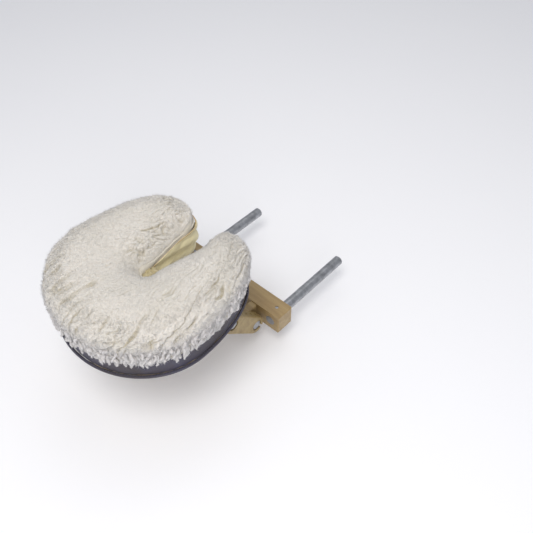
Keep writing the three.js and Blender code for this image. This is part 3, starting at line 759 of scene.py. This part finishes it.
def stitches(name, line, z, material):
    """A row of sewn stitches: short round threads with their ends sunk in."""
    per, sides = 4, 5
    row = spaced(line, STITCH_PITCH / per, closed=True)
    points, faces = [], []
    for i in range(0, len(row) - per, per):
        along = row[i + per] - row[i]
        along = np.append(along / np.linalg.norm(along), 0)
        out = np.array([along[1], -along[0], 0])
        faces += tube_faces(len(points), len(STITCH_BOW), sides)
        for t, bow in STITCH_BOW:
            centre = np.append(row[i], z) + along * t * STITCH_LENGTH + out * bow * STITCH_RADIUS * 1.6
            for q in circle(STITCH_RADIUS, STITCH_RADIUS, sides):
                points.append(centre + out * q[0] + UP * q[1])
    return new_object(name, place(points), faces, material)


shell = pad_cover()
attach(shell, "pad")
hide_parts("top_panel", "bottom_panel", "outer_boxing", "inner_boxing")

edge_line = crescent(PAD_PLAN, 3, -1.6)
for word, z in (("top", PAD_TOP - 3.0), ("bottom", 2.6)):
    piping = ring_of(f"pad_{word}_piping", edge_line, z, circle(PIPING_RADIUS, PIPING_RADIUS, 10), PIPING)
    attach(piping, "pad")
    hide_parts(f"{word}_welt")
for word, z in (("upper", PAD_TOP - 8.5), ("lower", 8.0)):
    row = stitches(f"pad_{word}_stitches", crescent(PAD_PLAN, 1.2, -0.2), z, GREY_THREAD)
    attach(row, "pad")


FOAM_INSET = 6.5
FOAM_CORNER = 12.0


def foam_block(name, node, rise):
    """One foam layer, in the place of its node, falling off by rise at its edges."""
    low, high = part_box(node)
    low_z, high_z = (low.z - PAD_BASE) / MM, (high.z - PAD_BASE) / MM
    outline = crescent(PAD_PLAN, 5, -FOAM_INSET)
    ring = np.vstack([outline, outline[:1]])

    def top(plan):
        return high_z - rise * (1 - np.clip(distance(plan, ring)[0] / FOAM_CORNER, 0, 1)) ** 2

    block = filled(name, outline, 6, top, level(low_z), FOAM)
    remesh(block, 5)
    subdivide(block, 1)
    p, n = points_of(block), normals_of(block)
    move_points(block, p + n * (layered(p / (9 * MM), 2, 5) * 0.35 * MM)[:, None])
    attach(block, "pad")
    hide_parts(node)


foam_block("foam_firm_block", "firm_foam", 1.0)
foam_block("foam_soft_block", "soft_foam", 4.0)

# ------------ fleece cover
SLIT_DIP = 37.0
SLIT_ROLL = 9.0
SLIT_WIDTH = 21.0
CROWN_HIGH = PILE_HIGH - 1.5
CROWN_WIDTH = 42.0
CROWN_FALL = 27.0
CROWN_POWER = 2.3
HEM_PULL = 4.0
HEM_LIFT = 4.0
HEM_INSIDE = PILE_HIGH - SLIT_DIP - SLIT_ROLL


def pile_top(plan):
    """Height of the fleece over a plan point: crowned to the outside, and sunk into the face opening."""
    out = distance(plan, outer_line)[0]
    slit = distance(plan, slit_line)[0]
    share = np.clip(out / CROWN_WIDTH, 0, 1)
    crown = CROWN_HIGH - CROWN_FALL * (1 - (1 - (1 - share) ** CROWN_POWER) ** 0.5)
    inside = ease(REACH + 6, REACH - 46, plan[:, 1])
    dip = SLIT_DIP * np.exp(-((slit / SLIT_WIDTH) ** 1.35)) * (0.45 + 0.55 * inside)
    flat = 3.5 * ease(70, 130, -plan[:, 1] - 20)
    return np.minimum(crown, CROWN_HIGH - dip - flat * 0.5)


def pile_bottom(plan):
    """Height of the fleece's lower side: high along the opening, and down to the hem outside."""
    out = distance(plan, outer_line)[0]
    slit = distance(plan, slit_line)[0]
    near = slit / np.maximum(out + slit, 1e-6)
    return HEM_INSIDE + (HEM + HEM_LIFT - HEM_INSIDE) * ease(0.05, 0.75, near)


def fleece_body():
    """The fleece as a smooth body, bulged over the pad, pulled in at its hem and open below."""
    outline = crescent(COVER_PLAN, 4, -2.2)
    body = filled("fleece_pile", outline, 4.5, pile_top, pile_bottom, FLEECE)
    remesh(body, 4.8)
    p = in_pad(points_of(body))
    inflate(body, 3, 5, p[:, 2] < pile_bottom(p[:, :2]) + 3)
    p, n = in_pad(points_of(body)), normals_of(body)
    outside = ease(4, 16, distance(p, slit_line)[0]) * ease(14, 4, distance(p, outer_line)[0])
    p[:, :2] -= n[:, :2] * (HEM_PULL * outside * ease(HEM + 34, HEM, p[:, 2]))[:, None]
    move_points(body, place(p))
    drop_faces(body, lambda c, n: (n[:, 2] < -0.55) & (c[:, 2] < pile_bottom(c[:, :2]) + 4))
    subdivide(body, 2)
    return body


def billow(p, seed):
    """Rounded bumps, 0 to 1, with narrow creases between them."""
    return np.sqrt(np.minimum(1, np.abs(noise(p, seed)) * 1.6))


def roughness_at(plan):
    """How far the pile is combed into locks, 0 to 1: most on the right, near the head and by the opening."""
    out = distance(plan, outer_line)[0]
    slit = distance(plan, slit_line)[0]
    x, y = plan.T
    right = ease(85, 10, out) * ease(-20, 50, x) * ease(-150, -80, y)
    head = ease(55, 8, out) * ease(-20, -95, y)
    by_slit = ease(66, 14, slit) * ease(-60, -20, y) * ease(8, -20, x)
    patch = ease(-0.1, 0.5, layered(plan / 55, 2, 11))
    left = 1 - 0.5 * ease(-60, -120, x) * ease(-60, 0, y)
    return np.clip(0.14 + 0.22 * patch * left + 0.6 * by_slit + 0.56 * np.maximum(right, head), 0, 1)


LIE_FROM = np.array([0.0, 330.0])
LIE_RADIUS = 370.0


def lie_of(unrolled):
    """Places across and down the lie of the pile, which fans out from a point beyond the lobe tips."""
    warp = np.stack([noise(unrolled / 50, 3), noise(unrolled / 50, 4)], 1) * 12
    warp += np.stack([noise(unrolled / 17, 5), noise(unrolled / 17, 6)], 1) * 3.2
    ray = unrolled + warp - LIE_FROM
    return np.arctan2(ray[:, 0], -ray[:, 1]) * LIE_RADIUS, np.linalg.norm(ray, axis=1)


def sculpt(body):
    """Locks, curls and creases, from noise drawn out along the lie of the pile."""
    p = in_pad(points_of(body))
    n = normals_of(body)
    plan = p[:, :2]
    out = distance(plan, outer_line)[0]
    slit = distance(plan, slit_line)[0]
    x, y, z = p.T
    drop = PILE_HIGH - z
    rim = ease(24, 4, out) * ease(4, 16, slit)
    across, down = lie_of(plan + n[:, :2] * (drop * ease(60, 25, out))[:, None])
    rough = roughness_at(plan)

    def combed(kind, wide, long, seed):
        """A kind of noise with features wide across the lie of the pile and long down it."""
        return kind(np.stack([across / wide, down / long], 1), seed)

    lock = combed(billow, 15, 48, 21)
    strand = combed(billow, 7.5, 19, 22)
    curl = combed(billow, 4.2, 6.5, 23)
    clump = combed(billow, 6.5, 10, 24)
    line = combed(noise, 11, 500, 61)
    shown = ease(-0.12, 0.22, combed(noise, 22, 44, 62))
    crease = ease(0.16, 0.0, np.abs(line)) * shown * (0.2 + 0.8 * rough) * ease(14, 30, slit)
    lift = 1.2 * layered(plan / 44, 2, 71) - 1.9 * crease
    left_bank = ease(64, 14, slit) * ease(8, -16, x) * ease(-50, -10, y) * ease(2, 16, slit)
    clumped = 1.5 + 1.0 * ease(60, 12, slit)
    lift += rough * (3.1 * lock - 2.2 + clumped * (strand - 0.65)) * (1 + 0.3 * rim)
    lift += left_bank * (3.4 * clump - 2.3)
    lift += (0.45 + 0.35 * rough) * (1.3 * curl - 0.8)
    lift += 0.45 * layered(p / 3.4, 2, 81)
    lift *= 1 - 0.7 * ease(12, 2, slit)
    moved = p + n * lift[:, None]
    hang = rim * ease(14, 0, z - HEM)
    moved[:, 2] -= hang * (3.2 * lock - 2.0)
    move_points(body, place(moved))
    # These attributes carry painted shade: pile is lower in creases and dips, where the material darkens the
    # fleece, and rim marks the low sides for painted cool shade.
    attribute(body, "pile", np.clip(0.66 + lift / 7.5 - 0.5 * crease, 0, 1))
    attribute(body, "rim", np.clip(rim * ease(18, 60, drop), 0, 1))
    return body


fleece = sculpt(fleece_body())
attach(fleece, "cover")
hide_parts("fleece_cover")

# ------------ locks and fibres of the pile
TREE = BVHTree.FromObject(fleece, bpy.context.evaluated_depsgraph_get())
RANDOM = np.random.default_rng(7)


def surface_hits(origins, directions):
    """Where rays from outside, in pad millimetres, meet the fleece, with its normals and which rays did."""
    found, normals, kept = [], [], []
    for i, (o, d) in enumerate(zip(place(origins), directions)):
        hit, normal, _, _ = TREE.ray_cast(Vector(o), Vector(d))
        if hit is not None:
            found.append(in_pad(np.array(hit)))
            normals.append(np.array(normal))
            kept.append(i)
    return np.array(found), np.array(normals), np.array(kept)


def unit(v):
    """Each row made one long."""
    return v / np.maximum(np.linalg.norm(v, axis=1), 1e-9)[:, None]


def tufts(name, roots, normals, ways, lengths, radii, droop):
    """Soft tapering locks: each starts in the pile, follows its way, waves, droops and turns up at last."""
    swell = np.array([0.7, 0.95, 1.06, 1.06, 0.98, 0.85, 0.62, 0.24])
    steps, sides = len(swell) - 1, 8
    count = len(roots)
    t = np.linspace(0, 1, steps + 1)
    across = unit(np.cross(ways, normals))
    phase = RANDOM.uniform(0, 2 * math.pi, count)[:, None]
    sway = np.sin(phase + t[None] * RANDOM.uniform(3, 6, count)[:, None]) - np.sin(phase)
    arch = np.sin(math.pi * np.minimum(1, t * 0.9 + 0.1))
    turned = RANDOM.uniform(-0.05, 0.22, count)[:, None] * t[None] ** 3
    line = roots[:, None] - normals[:, None] * 1.4
    line = line + ways[:, None] * (t[None, :, None] * lengths[:, None, None])
    line = line + across[:, None] * (sway * 0.14 * lengths[:, None])[..., None]
    rise = arch[None] * radii[:, None] * 0.55 + turned * lengths[:, None]
    line = line + normals[:, None] * rise[..., None]
    line[..., 2] -= (t[None] ** 2) * lengths[:, None] * droop
    a = np.linspace(0, 2 * math.pi, sides, endpoint=False)
    rings = across[:, None, None] * np.cos(a)[None, None, :, None]
    rings = rings + unit(np.cross(across, ways))[:, None, None] * np.sin(a)[None, None, :, None] * 0.85
    wobble = 1 + 0.13 * RANDOM.standard_normal((count, steps + 1, 1, 1))
    wobble = wobble + 0.05 * RANDOM.standard_normal((count, steps + 1, sides, 1))
    points = line[:, :, None] + rings * (radii[:, None] * swell[None])[..., None, None] * wobble
    points = points.reshape(-1, 3)
    per = (steps + 1) * sides
    faces = [face for c in range(count) for face in tube_faces(c * per, steps + 1, sides)]
    obj = new_object(name, place(points), faces, FLEECE)
    # Painted shade: each lock is darker at its root and lighter towards its tip, and the rim attribute paints
    # cool shade over it.
    painted_root_shade = np.repeat(np.tile(0.36 + 0.26 * np.sin(t * math.pi * 0.6), count), sides)
    attribute(obj, "pile", np.clip(painted_root_shade, 0, 1))
    attribute(obj, "rim", np.full(len(points), 0.55))
    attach(obj, "cover")
    return obj


# Each row of the fringe: its height over the hem, and its locks' spacing, length and radius
FRINGE_ROWS = [(8.5, 4.0, 11.0, 2.8), (14, 4.8, 12, 2.9), (21, 7.0, 12.5, 2.8), (29, 12.0, 13, 2.5)]
FRINGE_FALL = 0.95


def fringe():
    """Rows of locks round the lower edge of the cover, the lowest hanging past the hem."""
    length = length_along(outer_line)

    def edge_at(at):
        return [np.interp(at, length, outer_line[:, k]) for k in (0, 1)]

    origins, outward, spec = [], [], []
    for height, pitch, long, wide in FRINGE_ROWS:
        count = int(length[-1] / pitch)
        at = (np.arange(count) + 0.5 + RANDOM.uniform(-0.42, 0.42, count)) * pitch
        x, y = edge_at(at)
        (ahead_x, ahead_y), (behind_x, behind_y) = edge_at(at + 2), edge_at(at - 2)
        out = unit(np.stack([ahead_y - behind_y, -(ahead_x - behind_x), np.zeros(count)], 1))
        high = HEM + height + RANDOM.uniform(-2.5, 2.5, count)
        origins.append(np.stack([x, y, high], 1) + out * 30)
        outward.append(out)
        spec.append(np.stack([
            long * RANDOM.uniform(0.6, 1.35, count) * (1 - 0.22 * ease(-40, -100, x) * ease(-90, -40, y)),
            wide * RANDOM.uniform(0.7, 1.25, count),
            FRINGE_FALL + RANDOM.uniform(-0.15, 0.15, count),
        ], 1))
    origins, outward, spec = map(np.vstack, (origins, outward, spec))
    roots, normals, kept = surface_hits(origins, -outward)
    out, spec = outward[kept], spec[kept]
    side = np.stack([-out[:, 1], out[:, 0], np.zeros(len(out))], 1)
    ways = out * (1.05 - spec[:, 2:3]) - UP * spec[:, 2:3]
    swept_back = np.array([0.0, -0.75, 0.0]) * (1 - np.abs(out[:, 1:2]))
    ways = unit(ways + swept_back + side * RANDOM.normal(0, 0.3, (len(out), 1)))
    return tufts("fleece_fringe", roots, normals, ways, spec[:, 0], spec[:, 1], 0.1)


SLIT_LOCK_PITCH = 3.6
SLIT_LOCK_LENGTH = 6.0
SLIT_LOCK_BACK = 4.0
SLIT_LOCK_FALL = 0.7


def slit_fringe():
    """Short locks that roll over the right edge of the face opening."""
    line = spaced(slit_line, SLIT_LOCK_PITCH)
    along = np.gradient(line, axis=0)
    into = unit(np.stack([along[:, 1], -along[:, 0], np.zeros(len(line))], 1))
    line, into = line[3:-3], into[3:-3]
    right_edge = line[:, 0] > 6
    line, into = line[right_edge], into[right_edge]
    plan = line + RANDOM.uniform(-1.6, 1.6, line.shape)
    above = np.column_stack([plan, np.full(len(plan), 150.0)]) - into * SLIT_LOCK_BACK
    roots, normals, kept = surface_hits(above, np.tile([0, 0, -1.0], (len(above), 1)))
    into, count = into[kept], len(kept)
    lean = RANDOM.normal(0, 0.7, (count, 1))
    side = np.stack([-into[:, 1], into[:, 0], np.zeros(count)], 1)
    ways = unit(into + side * lean - UP * SLIT_LOCK_FALL)
    lengths = SLIT_LOCK_LENGTH * RANDOM.uniform(0.7, 1.2, count)
    radii = RANDOM.uniform(1.5, 2.3, count)
    return tufts("fleece_opening_fringe", roots, normals, ways, lengths, radii, 0.25)


def fibres(name, sources, count, lengths, thick, wanted):
    """Single fibres of the pile: closed three-sided spikes that stand out of the surfaces at random.

    wanted gives how thickly they grow at each place. lengths are the shortest and the longest.
    """
    roots, normals = [], []
    areas, picks = [], []
    for source in sources:
        mesh = source.data
        mesh.calc_loop_triangles()
        tri = np.empty(len(mesh.loop_triangles) * 3, np.int64)
        mesh.loop_triangles.foreach_get("vertices", tri)
        p, n, tri = in_pad(points_of(source)), normals_of(source), tri.reshape(-1, 3)
        a, b, c = p[tri[:, 0]], p[tri[:, 1]], p[tri[:, 2]]
        area = np.linalg.norm(np.cross(b - a, c - a), axis=1) / 2
        area = area * wanted((a + b + c) / 3)
        areas.append(area.sum())
        picks.append((p, n, tri, area))
    for share, (p, n, tri, area) in zip(np.array(areas) / sum(areas), picks):
        chosen = RANDOM.choice(len(tri), int(count * share), p=area / area.sum())
        u, v = RANDOM.random((2, len(chosen), 1))
        flip = (u + v) > 1
        u, v = np.where(flip, 1 - u, u), np.where(flip, 1 - v, v)
        a, b, c = (tri[chosen, k] for k in range(3))
        roots.append(p[a] * (1 - u - v) + p[b] * u + p[c] * v)
        normals.append(unit(n[a] * (1 - u - v) + n[b] * u + n[c] * v))
    roots, normals = np.vstack(roots), np.vstack(normals)
    out = distance(roots, outer_line)[0]
    rim = ease(24, 6, out)[:, None]
    lie = np.array([0.1, -1.0, 0]) * (1 - rim) - np.array([0, 0, 1.0]) * rim
    ways = unit(normals * 0.75 + unit(lie) * 0.55 + RANDOM.normal(0, 0.45, roots.shape))
    long = RANDOM.uniform(*lengths, (len(roots), 1))
    u = unit(np.cross(ways, RANDOM.normal(0, 1, roots.shape)))
    v = np.cross(ways, u)
    base = roots - normals * 0.4
    turn = 2 * math.pi / 3
    corners = [base + thick * (u * math.cos(k * turn) + v * math.sin(k * turn)) for k in range(3)]
    points = np.stack([*corners, roots + ways * long], 1).reshape(-1, 3)
    b = np.arange(len(roots))[:, None] * 4
    faces = np.concatenate([b + [0, 1, 3], b + [1, 2, 3], b + [2, 0, 3], b + [2, 1, 0]], 1).reshape(-1, 3)
    obj = new_object(name, place(points), faces, FIBRE)
    # Painted shade: each fibre is darker at its base than at its tip, and near the outer edge the rim
    # attribute paints cool shade.
    attribute(obj, "pile", np.tile([0.55, 0.55, 0.55, 1.0], len(roots)))
    attribute(obj, "rim", np.repeat(rim[:, 0] * 0.4, 4))
    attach(obj, "cover")
    return obj


def on_rim(p):
    """Fibres only near the cover's outer edge."""
    return ease(44, 26, distance(p, outer_line)[0])


def on_top(p):
    """Fibres everywhere, fewer near the cover's outer edge."""
    return 1.0 - 0.7 * ease(30, 12, distance(p, outer_line)[0])


FIBRE_COUNT = 46000
outer_locks, slit_locks = fringe(), slit_fringe()
fibres("fleece_fibres_rim", [fleece, outer_locks], FIBRE_COUNT, (2.5, 6.0), 0.28, on_rim)
fibres("fleece_fibres_top", [fleece, slit_locks], FIBRE_COUNT, (1.4, 3.2), 0.22, on_top)

# ------------ lining of the face opening
LINER_TOP = HEM_INSIDE + 3.0
LINER_DROP = 53.0
LINER_END_DROP = 34.0
LINER_ROWS = 40
LINER_THICK = 0.5


def slit_stations(step):
    """Points along the opening's edge, their way out of it, and how far each is from the closed end."""
    line = spaced(slit_line, step)
    along = np.gradient(line, axis=0)
    back = unit(np.stack([-along[:, 1], along[:, 0]], 1))
    length = length_along(line)
    return line, back, length - length[-1] / 2


def opening_liner():
    """The cotton that lines the opening: sewn under the fleece's edge, hanging in long slack folds."""
    line, back, from_end = slit_stations(1.6)
    line, back, from_end = line[12:-12], back[12:-12], from_end[12:-12]
    t = np.linspace(0, 1, LINER_ROWS)
    drop = LINER_END_DROP + (LINER_DROP - LINER_END_DROP) * ease(0, 60, np.abs(from_end))
    points = np.zeros((len(line), LINER_ROWS, 3))
    s, tt = np.meshgrid(from_end, t, indexing="ij")
    spot = np.stack([s.ravel() / 60, tt.ravel() * 1.4 + np.abs(s).ravel() / 150], 1)
    fold = noise(spot * [1, 2.6], 301) * 5.5 + noise(spot * [1.6, 5.0], 302) * 2.2
    slack = np.sin(tt * math.pi).ravel() ** 0.7
    pull = 4.6 * (1 - 2 * np.abs(np.sin(math.pi * (tt * 2.1 - np.abs(s) / 80 + 0.2)))).ravel()
    out = -3.2 + 5.5 * tt.ravel() + (fold + pull) * slack * 0.9
    out = np.clip(out, -4.0 - 4.0 * slack, -2.8 + 7.0 * tt.ravel()).reshape(s.shape)
    points[..., :2] = line[:, None] + back[:, None] * out[..., None]
    points[..., 2] = LINER_TOP - drop[:, None] * t + 0.8 * noise(spot * 3, 303).reshape(s.shape) * tt
    corners = [i * LINER_ROWS + j for i in range(len(line) - 1) for j in range(LINER_ROWS - 1)]
    faces = [(k, k + 1, k + LINER_ROWS + 1, k + LINER_ROWS) for k in corners]
    obj = new_object("opening_lining", place(points.reshape(-1, 3)), faces, CREAM)
    thick = obj.modifiers.new("Solidify", "SOLIDIFY")
    thick.thickness = LINER_THICK * MM
    bake(obj)
    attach(obj, "cover")
    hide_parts("opening_liner")


def rolled_edge():
    """The fleece's backing rolled over the opening's edge, and the tan thread that sews it down."""
    line, back, from_end = slit_stations(2.0)
    line, back, from_end = line[8:-8], back[8:-8], from_end[8:-8]
    wobble = noise(np.stack([from_end / 14, from_end * 0], 1), 321)
    near_end = ease(52, 14, from_end) * ease(3, 13, from_end)
    behind = back * (1.0 + 0.5 * wobble - 1.2 * near_end)[:, None]
    centre = np.column_stack([line + behind, HEM_INSIDE + 5.5 + 0.8 * wobble + 2.5 * near_end])
    thick = 0.8 + 1.9 * near_end
    sections = [circle((2.0 + 0.35 * w) * k, (2.6 + 0.5 * w) * k, 12) for w, k in zip(wobble, thick)]
    points, faces = swept(centre, sections)
    roll = new_object("opening_rolled_edge", place(points), faces, BACKING)
    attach(roll, "cover")
    thread_line = np.column_stack([line - back * 2.6, np.full(len(line), HEM_INSIDE + 2.0)])
    zigzag = [circle(0.75 + 0.3 * (i % 2), 0.75, 6) for i in range(len(line))]
    points, faces = swept(thread_line, zigzag)
    thread = new_object("opening_overlock", place(points), faces, THREAD)
    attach(thread, "cover")


# The bunch's folds: the middle of each, and its half sizes
BUNCH_FOLDS = [
    ((1.0, -25, 59), (8, 5.5, 5)),
    ((5.0, -18, 60), (6, 6, 5)),
    ((-3.5, -17, 60), (6, 7, 5)),
    ((2.0, -9, 58), (7, 6, 4.5)),
    ((-3.5, -6, 56), (6, 6, 4)),
]


def bunched_end():
    """Small folded bunch of the lining at the closed end of the opening."""
    bm = bmesh.new()
    for middle, half in BUNCH_FOLDS:
        made = bmesh.ops.create_icosphere(bm, subdivisions=4, radius=1.0)
        for v in made["verts"]:
            v.co = Vector([m + c * h for m, c, h in zip(middle, v.co, half)])
    mesh = bpy.data.meshes.new("opening_bunch")
    bm.to_mesh(mesh)
    bm.free()
    obj = bpy.data.objects.new("opening_bunch", mesh)
    bpy.context.scene.collection.objects.link(obj)
    # Painted shade: the bunch gets the darker copy of the cream cotton.
    mesh.materials.append(SHADED_CREAM)
    move_points(obj, place(points_of(obj)))
    remesh(obj, 0.9)
    p, n = in_pad(points_of(obj)), normals_of(obj)
    crumple = billow(np.stack([(p[:, 1] + p[:, 2] - 0.4 * p[:, 0]) / 7, p[:, 0] / 22], 1), 331)
    move_points(obj, place(p + n * (crumple * 4.2 - 2.8)[:, None]))
    obj.data.polygons.foreach_set("use_smooth", [True] * len(obj.data.polygons))
    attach(obj, "cover")


opening_liner()
rolled_edge()
bunched_end()

# ------------ knit backing, casing and elastic
casing_low, casing_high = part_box("hem_casing")
CASING_MIDDLE = ((casing_low.z + casing_high.z) / 2 - PAD_BASE) / MM
hem_half = outer_half(PAD_PLAN)
HEM_STEP = 1.6
PUCKER_PITCH = 5.2
hem_line = spaced(mirrored(hem_half[hem_half[:, 1] < REACH - 0.5]), HEM_STEP)


BACKING_PLAN = dict(COVER_PLAN, half=HALF_WIDTH, head=HEAD_DEPTH, reach=REACH, corner=TIP_CORNER + 3)


def backing_top(plan):
    return np.minimum(PAD_TOP + 3.2, pile_top(plan) - 5)


def backing_bottom(plan):
    return np.minimum(HEM + 3, backing_top(plan) - 6)


def backing():
    """The knit that carries the pile, seen from below when the cover is lifted off."""
    outline = crescent(BACKING_PLAN, 5, 1.6)
    body = filled("fleece_backing", outline, 5, backing_top, backing_bottom, BACKING)
    remesh(body, 4.0)
    drop_faces(body, lambda c, n: (n[:, 2] < -0.5) & (c[:, 2] < HEM + 6))
    subdivide(body, 1)
    p, n = points_of(body), normals_of(body)
    move_points(body, p + n * (layered(p / (12 * MM), 2, 15) * 0.3 * MM)[:, None])
    # The area is the drawn knit's own, kept within what a sheet may declare. It isn't a separate cut size,
    # so comparing the drawn knit with it can't show that the knit is too large or too small.
    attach(body, "cover")


def casing():
    """The gathered channel along the hem, and the elastic in it."""
    count = len(hem_line)
    at = np.arange(count) * HEM_STEP
    pucker = np.sin(at / PUCKER_PITCH * 2 * math.pi + 3 * noise(np.stack([at / 20, at * 0], 1), 401))
    loose = noise(np.stack([at / 9, at * 0 + 3], 1), 402)
    sections = [circle(1.7 + 0.3 * q + 0.2 * w, 2.4 + 0.3 * q + 0.3 * w, 10) for q, w in zip(pucker, loose)]
    centre = np.column_stack([shifted(hem_line, 0.3), np.full(count, CASING_MIDDLE + 8.0)])
    points, faces = swept(centre, sections)
    tube = new_object("hem_gathered_casing", place(points), faces, BACKING)
    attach(tube, "cover")
    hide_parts("hem_casing")
    ribs = [circle(0.7 + 0.12 * (i % 2), 1.7, 8) for i in range(count)]
    points, faces = swept(centre, ribs)
    band = new_object("hem_elastic_band", place(points), faces, ELASTIC)
    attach(band, "cover")
    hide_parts("hem_elastic")


backing()
casing()

# ------------ camera, light, floor
AZIMUTH = math.radians(42.0)
PITCH = math.radians(46.85)
DISTANCE = 0.960
SENSOR = 36.0
LENS = 40.525
# Where the pad's centre shows, away from the middle of the view, for each metre in front of the lens
PAD_LEFT = 0.1725
PAD_BELOW = 0.04333


def aimed(data, place_at, way):
    """A camera or a light, put in the scene so that it looks one way."""
    obj = bpy.data.objects.new(data.name, data)
    obj.location = place_at
    obj.rotation_mode = "QUATERNION"
    obj.rotation_quaternion = way.to_track_quat("-Z", "Y")
    bpy.context.scene.collection.objects.link(obj)
    return obj


ahead = np.array([-math.sin(AZIMUTH), math.cos(AZIMUTH), 0])
right = np.array([math.cos(AZIMUTH), math.sin(AZIMUTH), 0])
forward = math.cos(PITCH) * ahead - math.sin(PITCH) * UP
upward = math.sin(PITCH) * ahead + math.cos(PITCH) * UP
ray = forward - right * PAD_LEFT - upward * PAD_BELOW
lens = bpy.data.cameras.new("camera")
lens.lens = LENS
lens.sensor_width = SENSOR
lens.clip_start = 0.05
lens.clip_end = 30
bpy.context.scene.camera = aimed(lens, Vector(PAD_CENTRE - ray * DISTANCE), Vector(forward))


def soft_light(name, energy, size, place_at, tone):
    """A round soft light, in watts and metres, aimed at the middle of the part."""
    light = bpy.data.lights.new(name, "AREA")
    light.energy = energy
    light.shape = "DISK"
    light.size = size
    light.color = tone
    aimed(light, Vector(place_at), LIT_MIDDLE - Vector(place_at))


LIT_MIDDLE = Vector((0.0, -0.15, 0.15))
soft_light("key", 17.5, 0.9, (0.5, -0.8, 1.85), (1.0, 0.98, 0.955))
soft_light("top", 4, 1.4, (-0.5, 0.7, 2.1), (1.0, 0.98, 0.95))
soft_light("near", 9, 1.3, (1.5, -1.3, 1.1), (0.96, 0.96, 1.0))

world = bpy.data.worlds.new("studio")
world.use_nodes = True
sky = world.node_tree.nodes["Background"].inputs
sky["Color"].default_value = (0.93, 0.945, 1.0, 1)
sky["Strength"].default_value = 0.55
bpy.context.scene.world = world
bpy.context.scene.view_settings.view_transform = "Standard"

FLOOR_HALF = 12.0
FLOOR_GAP = 0.0005
floor_z = CAD_LOW.z - FLOOR_GAP
floor_points = [(x * FLOOR_HALF, y * FLOOR_HALF, floor_z) for x, y in ((-1, -1), (1, -1), (1, 1), (-1, 1))]
paper = Nodes("pale_floor")
paper_tone = paper.mix(paper.noise(0.4), linear(253, 253, 254), linear(251, 251, 253))
paper.set(Base_Color=paper_tone, Roughness=0.9)
floor = new_object("floor", floor_points, [(0, 1, 2, 3)], paper.material, smooth=False)
